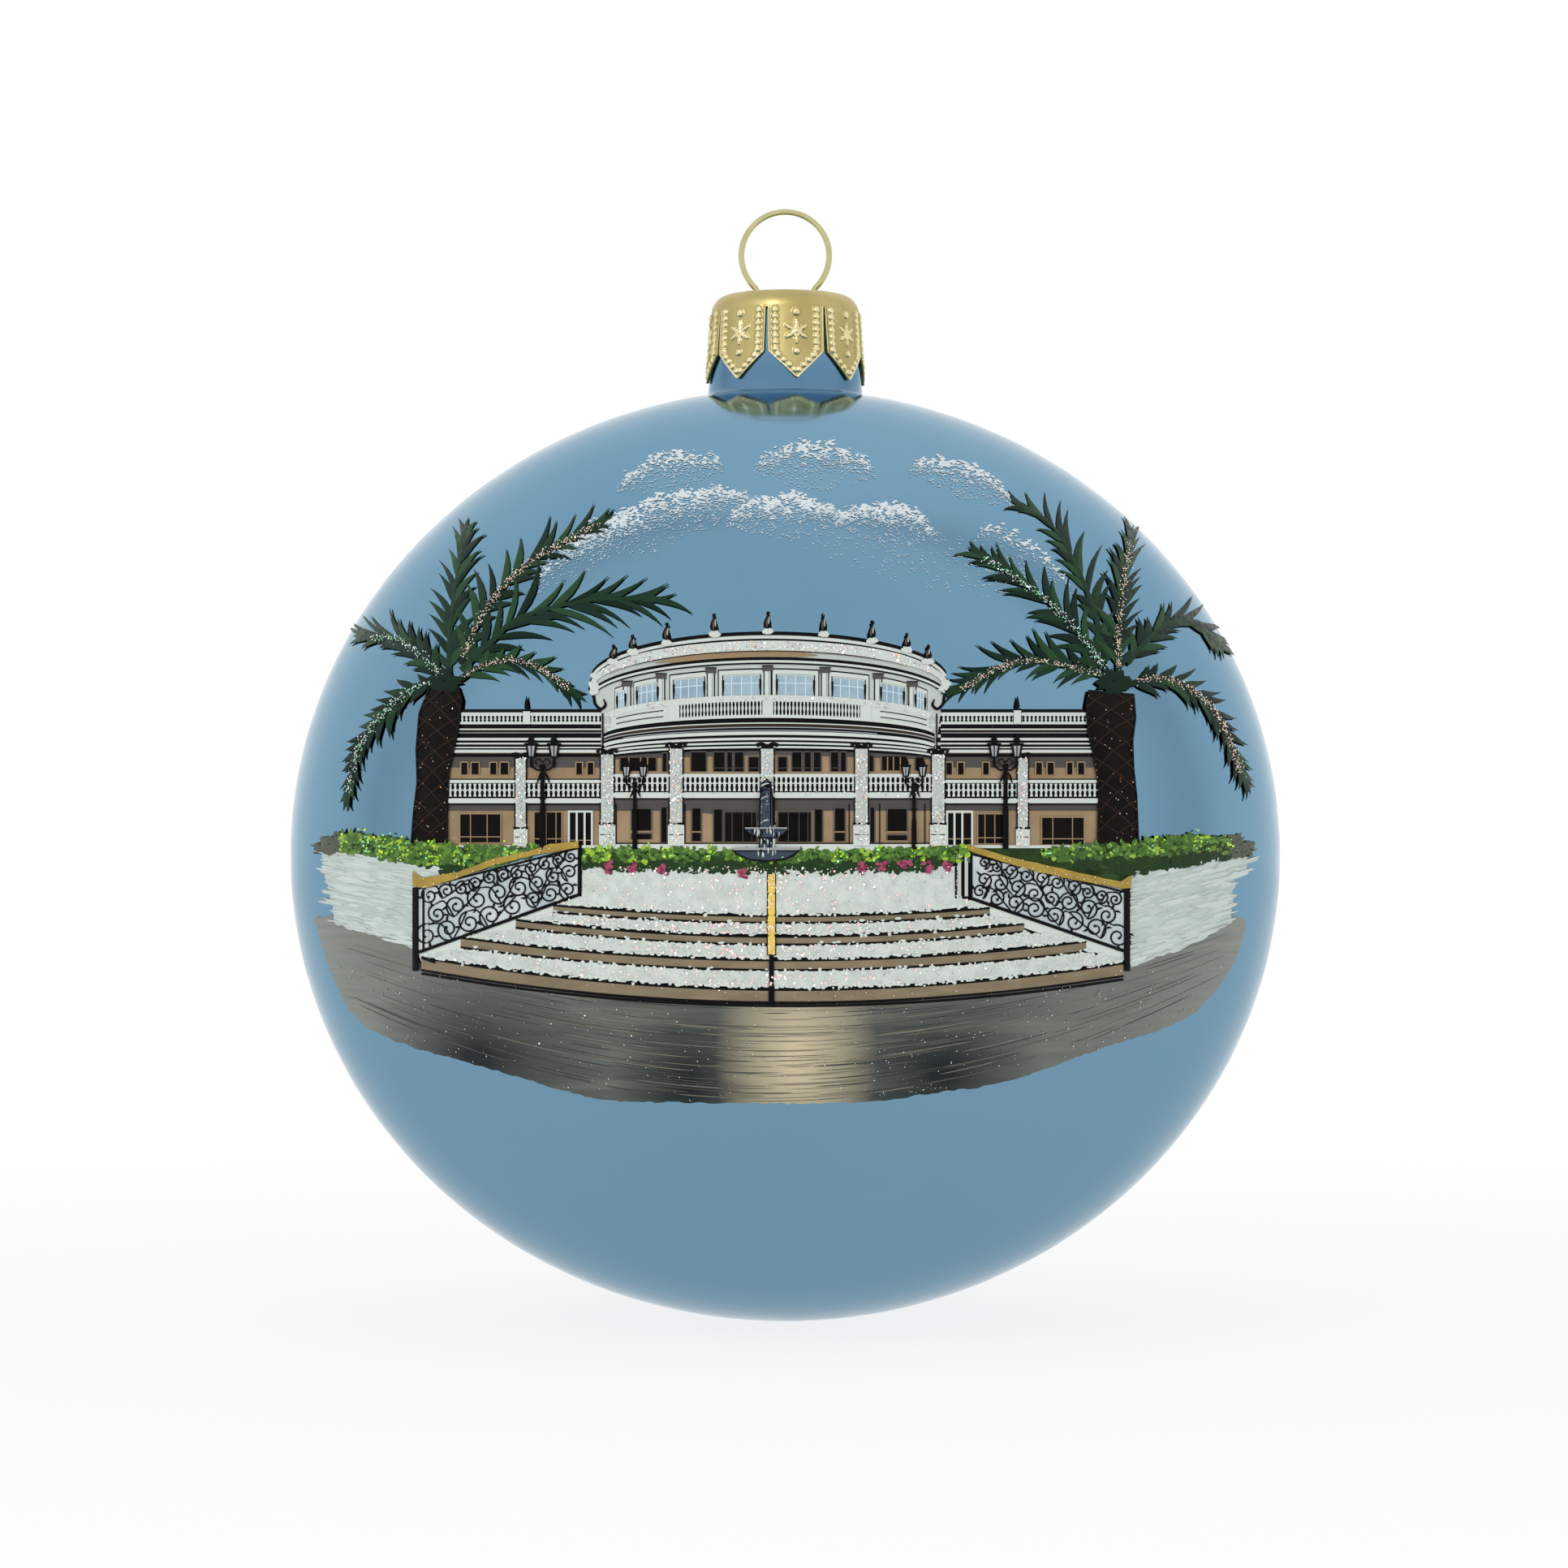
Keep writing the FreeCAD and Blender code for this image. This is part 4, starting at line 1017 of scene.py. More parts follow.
def make_middle_block(lines, glitter):
    wall = Paint("mansion_lower_walls", "stone_enamel", "mansion_lower_storeys_paint")
    wall.area([(-18.8, 0.3), (15.9, 0.3), (15.9, 10.2), (7.0, 10.9), (-1.6, 11.2), (-10.5, 10.9),
               (-18.8, 10.2)], TAN)
    wall.piece()
    lines.area([(-18.7, 9.7), (-1.6, 10.2), (15.8, 9.7), (15.8, 10.7), (-1.6, 11.0), (-18.7, 10.7)], SHADE, 1)
    lines.area(box(-18.7, 4.5, 15.8, 5.8), SHADE, 1)
    lines.area([(-10.4, 4.6), (-2.4, 3.4), (-2.4, 4.8), (-10.4, 4.8)], SHADE, 1)
    for window in UPPER_WINDOWS:
        dark_window(lines, *window, frame_tone=SHADE)
    for u in (-15.9, -14.7, -14.0, 10.4, 11.0, 11.7):
        upright(lines, u, 8.6, 9.95, 0.12, TAN_LINE, 5)
    for left, bottom, right, _ in UPPER_WINDOWS[3:12]:
        level_line(lines, left, right, bottom + 0.35, 0.07, SHADE, 5)
    for window in GROUND_WINDOWS:
        dark_window(lines, *window, frame_tone=SHADE)
    for u in (-17.6, -17.2, -10.2, 6.5, 9.6, 14.2):
        upright(lines, u, 1.1, 5.2, 0.12, BLACK, 4)
    for u in (-5.4, -4.3, -3.4, 0.3, 1.4, 2.3):
        upright(lines, u, 1.4, 4.4, 0.07, SHADE, 6)
    for left, right in ((-9.5, -8.55), (5.0, 6.1), (-15.65, -13.6), (10.35, 12.4)):
        level_line(lines, left, right, 2.35, 0.14, TAN_LINE, 6)
    for left, right in zip(COLUMNS, COLUMNS[1:]):
        lines.area(box(left, 5.85, right, 8.2), BLACK, 3)
        balusters(lines, left + 0.7, right - 0.6, 6.5, 8.0, 0.5, WHITE, 4)
        level_line(lines, left, right, 8.08, 0.34, WHITE, 5, 0.05)
        level_line(lines, left, right, 7.3, 0.1, WHITE, 5)
        level_line(lines, left, right, 6.1, 0.62, WHITE, 5, 0.07)
        level_line(lines, left, right, 6.42, 0.08, BLACK, 6)
        level_line(lines, left, right, 5.72, 0.14, BLACK, 5)
        glitter.flakes(scatter(box(left, 5.85, right, 6.4), 14), (0.1, 0.2), SNOW_CHIPS, height(8))
    level_line(lines, -18.7, 15.8, 0.72, 0.8, WHITE, 4, 0.06)
    level_line(lines, -18.7, 15.8, 1.18, 0.12, BLACK, 5)
    for u in COLUMNS:
        column(lines, glitter, u, 0.95, 10.9 if u not in (-18.1, 15.55) else 10.3, 1.25, 3.2)


def wing_stack(lines, left, right):
    """Roof line, balustrade, cornice bands and storeys shared by the two side wings."""
    lines.area(box(left, 10.6, right, 14.7), BLACK, 1)
    level_line(lines, left, right, 14.68, 0.3, BLACK, 3)
    level_line(lines, left, right, 14.32, 0.34, WHITE, 4, 0.05)
    balusters(lines, left + 0.1, right - 0.1, 13.45, 14.2, 0.42, WHITE, 3)
    level_line(lines, left, right, 13.42, 0.26, WHITE, 4, 0.04)
    for v, width, tone in ((12.78, 0.14, WHITE), (12.6, 0.12, BROWN_INK), (12.42, 0.08, PALE_GREY),
                           (11.78, 0.25, WHITE), (11.33, 0.16, WHITE), (10.93, 0.13, WHITE),
                           (10.55, 0.3, WHITE)):
        level_line(lines, left, right, v, width, tone, 4, 0.03)
    level_line(lines, left, right, 10.15, 0.34, BLACK, 3)
    lines.area(box(left, 8.9, right, 10.0), SHADE, 1)
    lines.area(box(left, 5.25, right, 7.75), BLACK, 3)
    balusters(lines, left + 0.1, right - 0.1, 5.95, 7.25, 0.5, WHITE, 4)
    level_line(lines, left, right, 7.48, 0.32, WHITE, 5, 0.05)
    level_line(lines, left, right, 6.6, 0.1, WHITE, 5)
    level_line(lines, left, right, 5.52, 0.5, WHITE, 5, 0.07)
    level_line(lines, left, right, 5.15, 0.14, BLACK, 5)
    lines.area(box(left, 4.5, right, 5.1), SHADE, 1)
    level_line(lines, left, right, 0.85, 0.3, WHITE, 4)


def pier(lines, u, top, bottom, finial):
    upright(lines, u, bottom, top, 0.95, BLACK, 5)
    upright(lines, u, bottom, top - 0.05, 0.75, WHITE, 6, 0.05)
    lines.leaf((u, top), (u, finial), 0.42, BLACK, 7, 0, 0.08, 0.6)
    lines.blob(u, top + 0.45, 0.26, 0.2, BLACK, 7, 0.08)
    level_line(lines, u - 0.4, u + 0.4, top + 0.08, 0.16, BLACK, 7)


LEFT_UPPER = [(-33.0, -32.25), (-31.95, -31.1), (-30.05, -29.3), (-29.0, -28.1), (-21.3, -20.6),
              (-20.15, -19.45)]
RIGHT_UPPER = [(16.3, 17.0), (17.5, 18.2), (20.05, 20.75), (25.45, 26.15), (26.6, 27.35), (28.6, 29.25),
               (29.7, 30.45)]


def make_wings(lines, glitter):
    for name, node, left, right in (("mansion_left_wing_wall", "mansion_left_wing_paint", -34.4, -18.7),
                                    ("mansion_right_wing_wall", "mansion_right_wing_paint", 15.8, 31.8)):
        wall = Paint(name, "stone_enamel", node)
        wall.area(box(left, 0.6, right, 14.7), TAN, 0, 1.3)
        wall.piece()
        wing_stack(lines, left, right)
    for left, right in LEFT_UPPER + RIGHT_UPPER:
        dark_window(lines, left, 8.2, right, 9.45, frame_tone=TAN_LINE)
    for left, right, bottom, top, bars in (
            (-33.1, -28.9, 1.3, 4.2, (-32.0, -30.3)), (-25.55, -22.7, 1.1, 4.4, (-24.3, -23.3)),
            (-22.0, -19.65, 0.95, 4.45, (-21.2, -20.4)), (16.45, 19.0, 1.1, 4.3, (17.2, 18.0)),
            (19.55, 22.25, 1.2, 4.2, (20.3, 21.3)), (26.05, 30.4, 1.1, 3.85, (27.2, 29.2))):
        dark_window(lines, left, bottom, right, top, frame_tone=TAN_LINE, bars=bars, rails=(bottom + 0.55,))
    for left, right, door in ((-22.0, -19.65, (-22.0, -21.2, -20.4, -19.65)),
                              (16.45, 19.0, (16.45, 17.2, 18.0, 19.0))):
        for u in door:
            upright(lines, u, 0.95, 4.4, 0.2, WHITE, 6, 0.03)
        level_line(lines, left - 0.1, right + 0.1, 4.42, 0.2, WHITE, 6)
    pier(lines, -26.3, 14.65, 13.3, 16.2)
    pier(lines, 23.6, 14.75, 13.4, 16.2)
    for u in (-26.9, 24.15):
        column(lines, glitter, u, 0.9, 9.9, 1.0, 2.75)


# Each street lamp as u, height of the lantern tops, half the spread of the two lanterns, and scale.
LAMPS = [(-24.67, 12.4, 1.15, 1.0), (-15.3, 10.0, 0.85, 0.82), (13.1, 10.0, 0.85, 0.82),
         (22.4, 12.4, 1.15, 1.0)]


def make_lamps():
    lamps = Paint("street_lamps", "lamp_black", "street_lamp_paint")
    for u, top, spread, k in LAMPS:
        upright(lamps, u, 0.6, top - 3.3 * k, 0.44 * k, BLACK, 12, 0.08)
        upright(lamps, u, 0.6, top - 7.0 * k, 0.62 * k, BLACK, 12, 0.08, (1, 0.5))
        lamps.blob(u, top - 6.6 * k, 0.42 * k, 0.2 * k, BLACK, 13, 0.08)
        lamps.blob(u, top - 3.4 * k, 0.36 * k, 0.32 * k, BLACK, 13, 0.08)
        for side in (-1, 1):
            head = u + side * spread
            base = top - 2.5 * k
            arm = [(u, top - 3.6 * k), (u + side * 0.5 * k, base - 1.25 * k),
                   (head, base - 0.75 * k), (head, base)]
            lamps.stroke(smooth(arm), 0.2 * k, BLACK, 12, 0.05)
            scroll = [(u, base - 0.5 * k), (u + side * 0.4 * k, base - 0.1 * k),
                      (u + side * 0.75 * k, base - 0.45 * k), (u + side * 0.5 * k, base - 0.75 * k)]
            lamps.stroke(smooth(scroll), 0.14 * k, BLACK, 13, 0.04)
            cage = [(head - 0.38 * k, base), (head + 0.38 * k, base), (head + 0.6 * k, base + 1.35 * k),
                    (head - 0.6 * k, base + 1.35 * k)]
            lamps.area(cage, BLACK, 12, 1.0)
            glow = [(head - 0.2 * k, base + 0.15 * k), (head + 0.2 * k, base + 0.15 * k),
                    (head + 0.36 * k, base + 1.2 * k), (head - 0.36 * k, base + 1.2 * k)]
            lamps.area(glow, PALE_GREY, 13, 1.0)
            upright(lamps, head, base, base + 1.35 * k, 0.1 * k, BLACK, 14)
            lamps.stroke([(head - 0.72 * k, base + 1.4 * k), (head + 0.72 * k, base + 1.4 * k)], 0.17 * k,
                         BLACK, 14)
            lamps.leaf((head - 0.02, base + 1.35 * k), (head, base + 2.5 * k), 0.75 * k, BLACK, 13, 0, 0.05,
                       0.45)
            lamps.leaf((head, base - 0.1 * k), (head, base - 1.1 * k), 0.34 * k, BLACK, 13, 0, 0.05)
            lamps.leaf((u + side * 0.15 * k, base - 1.4 * k), (u + side * 0.7 * k, base - 2.7 * k), 0.24 * k,
                       BLACK, 13)
    lamps.piece()


def make_fountain():
    fountain = Paint("fountain", "fountain_stone", "fountain_paint")
    basin = [(-5.4, 0.55), (-4.9, 0.1), (-3.7, -0.45), (-1.9, -0.62), (-0.1, -0.45), (1.0, 0.1), (1.45, 0.55)]
    fountain.area(basin, SLATE, 17, 1.0, 0.1)
    fountain.stroke(basin, 0.16, BLACK, 19, 0.04)
    fountain.stroke([(-5.5, 0.62), (1.5, 0.62)], 0.26, PALE_GREY, 19, 0.06)
    fountain.stroke([(-5.4, 0.42), (1.4, 0.42)], 0.1, BLACK, 20)
    bowl = [(-4.1, 2.65), (-3.6, 2.1), (-2.6, 1.75), (-1.1, 1.75), (-0.2, 2.1), (0.2, 2.65)]
    fountain.area(bowl, SLATE, 18, 1.0, 0.1)
    fountain.stroke(bowl + [bowl[0]], 0.14, BLACK, 20, 0.04)
    fountain.stroke([(-4.1, 2.7), (0.2, 2.7)], 0.22, PALE_GREY, 20, 0.05)
    fountain.area([(-2.75, 0.7), (-1.1, 0.7), (-1.3, 1.8), (-2.55, 1.8)], SLATE, 17, 1.0, 0.1)
    for u in (-2.6, -2.1, -1.6, -1.2):
        upright(fountain, u, 0.7, 1.8, 0.12, WHITE if u in (-2.1, -1.2) else BLACK, 19)
    shaft = [(-2.65, 2.7), (-1.2, 2.7), (-1.25, 5.6), (-1.5, 7.3), (-1.9, 7.75), (-2.35, 7.3), (-2.55, 5.6)]
    fountain.area(shaft, SLATE, 18, 1.0, 0.12)
    fountain.stroke(shaft + [shaft[0]], 0.16, BLACK, 20, 0.04)
    for u, low, top, tone in ((-2.2, 2.9, 7.0, BLACK), (-1.85, 3.2, 6.4, PALE_GREY), (-1.5, 2.9, 6.8, BLACK),
                              (-2.42, 3.4, 5.2, PALE_GREY)):
        upright(fountain, u, low, top, 0.13, tone, 20, 0.03, (0.3, 0.3))
    for v in (3.3, 4.1, 4.9, 5.7, 6.4, 7.0):
        fountain.blob(-1.95 + dice.gauss(0, 0.12), v, 0.42, 0.22, dice.choice([BLACK, SLATE]), 19, 0.12,
                      sides=8)
        fountain.leaf((-2.5, v - 0.1), (-1.6, v + 0.25), 0.14, dice.choice([PALE_GREY, WHITE, BLACK]), 21,
                      0.3)
    for _ in range(34):
        u, v = dice.gauss(-1.95, 0.95), dice.choice([2.75, 2.4, 2.2, 1.3, 0.4]) + dice.gauss(0, 0.12)
        if abs(u + 1.95) < 2.1:
            fountain.leaf((u, v + 0.25), (u + dice.gauss(0, 0.05), v - 0.35), 0.12,
                          dice.choice([WHITE, PALE_GREY, BLACK]), 21)
    fountain.piece()


# ---- Palms --------------------------------------------------------------------------------------
# Each frond as its midrib, the leaflets' length above and below it, how many there are a side, and
# which glitter the midrib carries, if any.
LEFT_FRONDS = [
    ([(-34.2, 18.1), (-34.1, 22.4), (-33.6, 27.0), (-32.6, 32.4)], 3.6, 3.9, 11, None),
    ([(-33.0, 19.4), (-31.1, 23.9), (-28.9, 27.0), (-25.8, 29.9), (-19.2, 33.6)], 4.6, 2.9, 13, "gold"),
    ([(-33.0, 18.8), (-29.9, 21.7), (-27.0, 24.1), (-20.7, 25.8), (-13.9, 26.0)], 5.6, 5.6, 13, None),
    ([(-33.0, 17.9), (-31.3, 19.0), (-28.5, 19.8), (-25.5, 19.3), (-21.9, 16.8)], 2.4, 3.3, 10, "pink"),
    ([(-34.9, 18.2), (-36.2, 19.5), (-37.9, 21.0), (-39.6, 22.0), (-42.0, 22.2)], 3.0, 3.8, 10, "pale"),
    ([(-35.6, 17.5), (-37.9, 17.0), (-41.0, 14.2), (-43.4, 10.8), (-44.5, 6.4)], 2.8, 2.3, 14, "pale"),
]
RIGHT_FRONDS = [
    ([(32.8, 19.8), (31.4, 24.8), (29.6, 29.4), (27.2, 33.4), (24.6, 35.2)], 3.0, 4.4, 12, None),
    ([(32.9, 18.4), (31.4, 20.6), (28.7, 23.9), (25.3, 26.9), (20.2, 30.3)], 4.2, 4.4, 13, "pale"),
    ([(32.6, 18.2), (30.4, 18.8), (26.8, 19.6), (23.2, 19.6), (17.9, 17.0)], 2.9, 4.2, 13, "pink"),
    ([(33.9, 18.4), (33.9, 22.7), (34.4, 26.9), (35.1, 31.6)], 3.9, 3.2, 12, "gold"),
    ([(34.8, 19.5), (36.4, 21.4), (38.8, 23.5), (41.2, 23.7), (44.0, 21.6)], 3.1, 3.2, 11, None),
    ([(35.0, 17.4), (38.2, 18.0), (41.6, 16.7), (44.3, 13.6), (46.6, 8.0)], 2.6, 3.2, 14, "gold"),
]


# Each palm as its name, its side, its fronds, the left and right edge of its trunk and its heart.
PALMS = [
    ("west_palm", "left", LEFT_FRONDS,
     [(-36.2, 17.0), (-37.2, 14.4), (-37.5, 10.8), (-37.4, 7.4), (-37.8, 4.0), (-38.0, 1.2)],
     [(-33.3, 17.0), (-32.9, 15.8), (-33.3, 12.6), (-34.2, 8.6), (-34.4, 5.0), (-34.4, 1.2)], (-34.6, 17.8)),
    ("east_palm", "right", RIGHT_FRONDS,
     [(30.9, 16.8), (30.6, 15.2), (30.8, 12.6), (31.5, 9.6), (31.9, 6.6), (31.8, 1.2)],
     [(35.4, 16.4), (35.6, 14.0), (35.3, 11.6), (35.4, 8.8), (35.7, 6.0), (35.9, 1.2)], (33.4, 17.6)),
]
RIB_CHIPS = {"gold": [GOLD_CHIP, SILVER_CHIP, GOLD_CHIP, PINK_CHIP],
             "pink": [PINK_CHIP, SILVER_CHIP, GOLD_CHIP],
             "pale": [SILVER_CHIP, SILVER_CHIP, MINT_CHIP]}
TRUNK_LEVEL = 7
HATCH_RISE, HATCH_PITCH = 3.2, 2.1


def make_frond(crown, glitter, greens, order, rib, above, below, count, shine):
    """Leaflets on both flanks of a curved midrib, swept forwards more and more towards its tip."""
    level = 2 + order
    path = np.array(smooth(rib, 8))
    run = np.concatenate([[0], np.cumsum(np.linalg.norm(np.diff(path, axis=0), axis=1))])
    share = run / run[-1]

    def place(t):
        return np.array([np.interp(t, share, path[:, 0]), np.interp(t, share, path[:, 1])])

    crown.ribbon(path, 0.62 - 0.4 * share, greens[order % 2], level + 1, 0.05)
    for k in range(count):
        for flank, longest in ((1, above), (-1, below)):
            t = min(0.98, (k + 0.6 + dice.uniform(-0.25, 0.25)) / count)
            base = place(t)
            du, dv = place(min(1, t + 0.05)) - place(t - 0.05)
            heading = math.atan2(dv, du) + math.radians(43 - 26 * t + dice.uniform(-6, 6)) * flank
            reach = longest * (0.78 + 0.45 * math.sin(math.pi * (0.08 + 0.75 * t))) * dice.uniform(0.78, 1.1)
            reach *= 1 - 0.2 * t ** 3
            tip = base + reach * np.array([math.cos(heading), math.sin(heading) - 0.05])
            crown.leaf(base, tip, dice.uniform(0.6, 0.88) * (1 - 0.3 * t), dice.choice(greens), level,
                       -0.17 * flank, 0.05, dice.uniform(0.6, 0.8))
    ahead = path[-1] - path[-3]
    crown.leaf(path[-3], path[-1] + 2.0 * ahead / np.linalg.norm(ahead), 0.7, greens[0], level + 1, 0.03)
    if shine:
        for _ in range(int(run[-1] * 27)):
            spot = place(dice.uniform(0.04, 1.0)) + (dice.gauss(0, 0.2), dice.gauss(0, 0.2))
            glitter.flakes([spot], (0.06, 0.15), RIB_CHIPS[shine], height(level + 3))


def make_crown(name, side, fronds, heart):
    greens = [enamel(f"{name}_frond_{i}", c, 0.4, grain=1200) for i, c in
              enumerate([(30, 56, 38), (19, 39, 28), (42, 72, 46), (26, 48, 38)])]
    crown = Paint(f"{name}_crown", "frond_green", f"{side}_palm_crown_paint")
    glitter = Paint(f"{name}_rib_glitter", "frond_green")
    for order, frond in enumerate(fronds):
        make_frond(crown, glitter, greens, order, *frond)
    for _ in range(26):
        angle = dice.uniform(0, 2 * math.pi)
        tip = (heart[0] + 1.9 * math.cos(angle), heart[1] + 1.4 * math.sin(angle))
        crown.leaf(heart, tip, 0.8, greens[1], 8, dice.uniform(-0.2, 0.2))
    crown.piece()
    glitter.piece(False)


def make_trunk(name, side, left, right):
    """A dark stem under a lattice of bark lines, with a few amber specks."""
    stem = Paint(f"{name}_trunk", "trunk_brown", f"{side}_palm_trunk_paint")
    bark = mottled(f"{name}_bark", (8, 7, 5), (21, 15, 10), 400, 0.5)
    stem.area(smooth(left, 4) + smooth(right, 4)[::-1], bark, TRUNK_LEVEL, 1.0, 0.08)
    stem.piece()
    hatch = Paint(f"{name}_bark_lines", "trunk_brown")
    line_tone = enamel(f"{name}_bark_line", (48, 33, 22))
    left, right = np.array(left)[::-1], np.array(right)[::-1]
    bottom, top = max(left[0][1], right[0][1]) + 0.1, min(left[-1][1], right[-1][1]) - 0.2

    def across(share, v):
        ends = np.interp(v, left[:, 1], left[:, 0]), np.interp(v, right[:, 1], right[:, 0])
        return (1 - share) * ends[0] + share * ends[1]

    for start in np.arange(bottom - HATCH_RISE, top, HATCH_PITCH):
        for way in (1, -1):
            path = []
            for t in np.linspace(0, 1, 7):
                v = start + HATCH_RISE * t
                if bottom < v < top:
                    path.append((across(t if way > 0 else 1 - t, v), v + 0.25 * math.sin(math.pi * t)))
            if len(path) > 1:
                hatch.stroke(path, 0.16, BLACK, TRUNK_LEVEL + 3, 0.03)
                hatch.stroke([(u, v + 0.14) for u, v in path], 0.12, line_tone, TRUNK_LEVEL + 4, 0.03)
    for edge in (left, right):
        hatch.stroke(edge, 0.2, BLACK, TRUNK_LEVEL + 3, 0.03)
    hatch.piece()
    specks = Paint(f"{name}_bark_glitter", "trunk_brown")
    amber = chip(f"{name}_amber", (214, 120, 40))
    places = scatter(np.concatenate([left, right[::-1]]), 60)
    specks.flakes(places, (0.06, 0.13), [GOLD_CHIP, amber, PINK_CHIP], height(TRUNK_LEVEL + 6))
    specks.piece(False)


# ---- Steps, walls and greenery ------------------------------------------------------------------
# Each riser as the left end, middle and right end of its top edge, and its height.
RISERS = [((-23.6, -5.1), (-1.8, -6.2), (20.8, -5.4), 0.7),
          ((-27.4, -6.6), (-1.8, -8.3), (24.3, -7.0), 0.8),
          ((-33.0, -8.4), (-1.8, -10.7), (30.6, -8.8), 1.0),
          ((-37.0, -10.4), (-1.8, -13.7), (34.4, -11.0), 1.3)]


def make_steps():
    snow = Paint("step_snow_cover", "snow_paste", "step_snow")
    riser_tone = mottled("riser_brown", (124, 112, 90), (142, 128, 104), 300, 0.5, stretch=(1, 1, 4))
    risers = Paint("step_risers", "riser_brown", "step_riser_paint")
    ink = Paint("step_outlines", "riser_brown")
    glitter = Paint("step_glitter", "snow_paste")
    # bright enamel dots that stand for glints of the glitter: painted highlights
    glint_white = enamel("glint_white", (255, 250, 246), 0.2)
    glint_pink = enamel("glint_pink", (255, 208, 202), 0.2)
    under = [(-21.2, -1.0), (19.2, -0.5), (19.2, -4.2), (34.5, -9.9), (34.4, -12.2)]
    under += bow((34.4, -12.2), (-1.8, -15.2), (-37.0, -11.7)) + [(-37.4, -9.7), (-21.2, -3.9)]
    ink.area(under, BLACK, 1, 1.3)
    # snow swept against the foot of the railings
    for foot in ([(-37.2, -10.3), (-20.9, -4.45)], [(34.5, -10.25), (18.9, -4.85)]):
        snow.stroke(foot, 1.3, SNOW_DAB, 2, 0.02)
    beds = [[(-20.6, -1.2), (17.4, -1.2), (17.6, -4.3)] + bow((20.4, -5.1), (-1.8, -5.95), (-23.2, -4.8))
            + [(-20.8, -4.0)]]
    for upper, lower in zip(RISERS, RISERS[1:]):
        top = [(u, v - upper[3] - 0.12) for u, v in bow(*upper[:3])]
        foot = [(u, v + 0.28) for u, v in bow(*lower[:3])]
        beds.append(top + foot[::-1])
    for i, bed in enumerate(beds):
        snow.area(bed, SNOW, 3, 0.42, 0.14, 0.5, 0.6, 0.16, 0.6)
        count = 750 if i == 0 else 520
        glitter.flakes(scatter(bed, count), (0.07, 0.16), SNOW_CHIPS, height(3) + 0.16)
        # painted highlights: bright glint dots, most of them near the middle of the steps
        glints = [(u, v) for u, v in scatter(bed, 260) if dice.random() < math.exp(-((u + 3) / 15) ** 2)]
        glitter.flakes(glints, (0.14, 0.28), [glint_white, glint_pink, glint_pink], height(6) + 0.18, 0.03)
        # the paste hangs over each edge in crumbs
        for u, v in spaced(bed, 0.3)[0]:
            if dice.random() < 0.8:
                snow.blob(u + dice.gauss(0, 0.12), v + dice.gauss(0, 0.12), dice.uniform(0.12, 0.34),
                          dice.uniform(0.1, 0.22), SNOW_DAB, 4, 0.1)
    for left, middle, right, tall in RISERS:
        top = bow(left, middle, right)
        risers.area(top + [(u, v - tall) for u, v in top[::-1]], riser_tone, 3, 1.0)
        ink.stroke(top, 0.22, BLACK, 5, 0.02)
        ink.stroke([(u, v - tall) for u, v in top], 0.22, BLACK, 5, 0.02)
    left, middle, right, tall = RISERS[3]
    ink.stroke([(u, v - tall - 0.35) for u, v in bow(left, middle, right)], 0.24, BLACK, 4, 0.02)
    snow.piece()
    risers.piece()
    ink.piece()
    glitter.piece(False)


def make_handrail():
    rail = Paint("centre_handrail", "handrail_gold", "centre_handrail_paint")
    upright(rail, -1.4, -13.6, -10.0, 0.5, BLACK, 12, 0.05)
    upright(rail, -1.4, -15.2, -13.4, 0.6, BLACK, 12, 0.05)
    upright(rail, -1.4, -10.2, -1.9, 0.95, BLACK, 11, 0.02)
    upright(rail, -1.4, -10.1, -1.95, 0.72, YELLOW, 12, 0.1)
    for v in (-3.9, -6.1, -8.2):
        level_line(rail, -1.75, -1.05, v, 0.18, BLACK, 13)
    rail.piece()
    glitter = Paint("centre_handrail_glitter", "handrail_gold")
    glitter.flakes(scatter(box(-1.75, -10.0, -1.05, -2.0), 60), (0.08, 0.2),
                   [GOLD_CHIP, chip("glitter_yellow", (240, 206, 96))], height(16))
    glitter.piece(False)


LEFT_WALL = [(-47.2, 0.5), (-43.5, 0.3), (-37.8, -0.6), (-30.0, -0.4), (-33.3, -2.2), (-37.8, -3.2),
             (-37.8, -9.5), (-41.1, -8.3), (-45.8, -7.1)]
RIGHT_WALL = [(35.1, -1.6), (40.6, -0.9), (46.9, 0.2), (47.0, -1.8), (45.7, -2.2), (45.2, -6.8),
              (40.6, -9.4), (35.1, -11.4)]


def make_planters():
    face = mottled("planter_white", (184, 198, 193), (199, 210, 205), 110, 0.6, stretch=(1, 1, 5))
    tones = [enamel("planter_stroke_white", (207, 217, 213), 0.6),
             enamel("planter_stroke_grey", (188, 200, 197), 0.6),
             enamel("planter_stroke_soft", (198, 210, 205), 0.6)]
    for side, outline, drift in (("left", LEFT_WALL, -0.2), ("right", RIGHT_WALL, 0.28)):
        wall = Paint(f"{side}_planter_wall", "planter_white", f"{side}_planter_wall_paint")
        wall.area(outline, face, 1, 0.6, 0.08, 0.6, 1.2, 0.3)
        wall.piece()
        strokes = Paint(f"{side}_planter_brushwork", "planter_white")
        for u, v in scatter(outline, 260):
            long = dice.uniform(0.8, 2.8)
            path = [(u - long / 2, v - drift * long / 2), (u, v + dice.gauss(0, 0.05)),
                    (u + long / 2, v + drift * long / 2)]
            if inside(path, outline).mean() > 0.6:
                strokes.stroke(path, dice.uniform(0.12, 0.4), dice.choice(tones), 6, 0.02, (0.3, 0.2))
        strokes.piece()


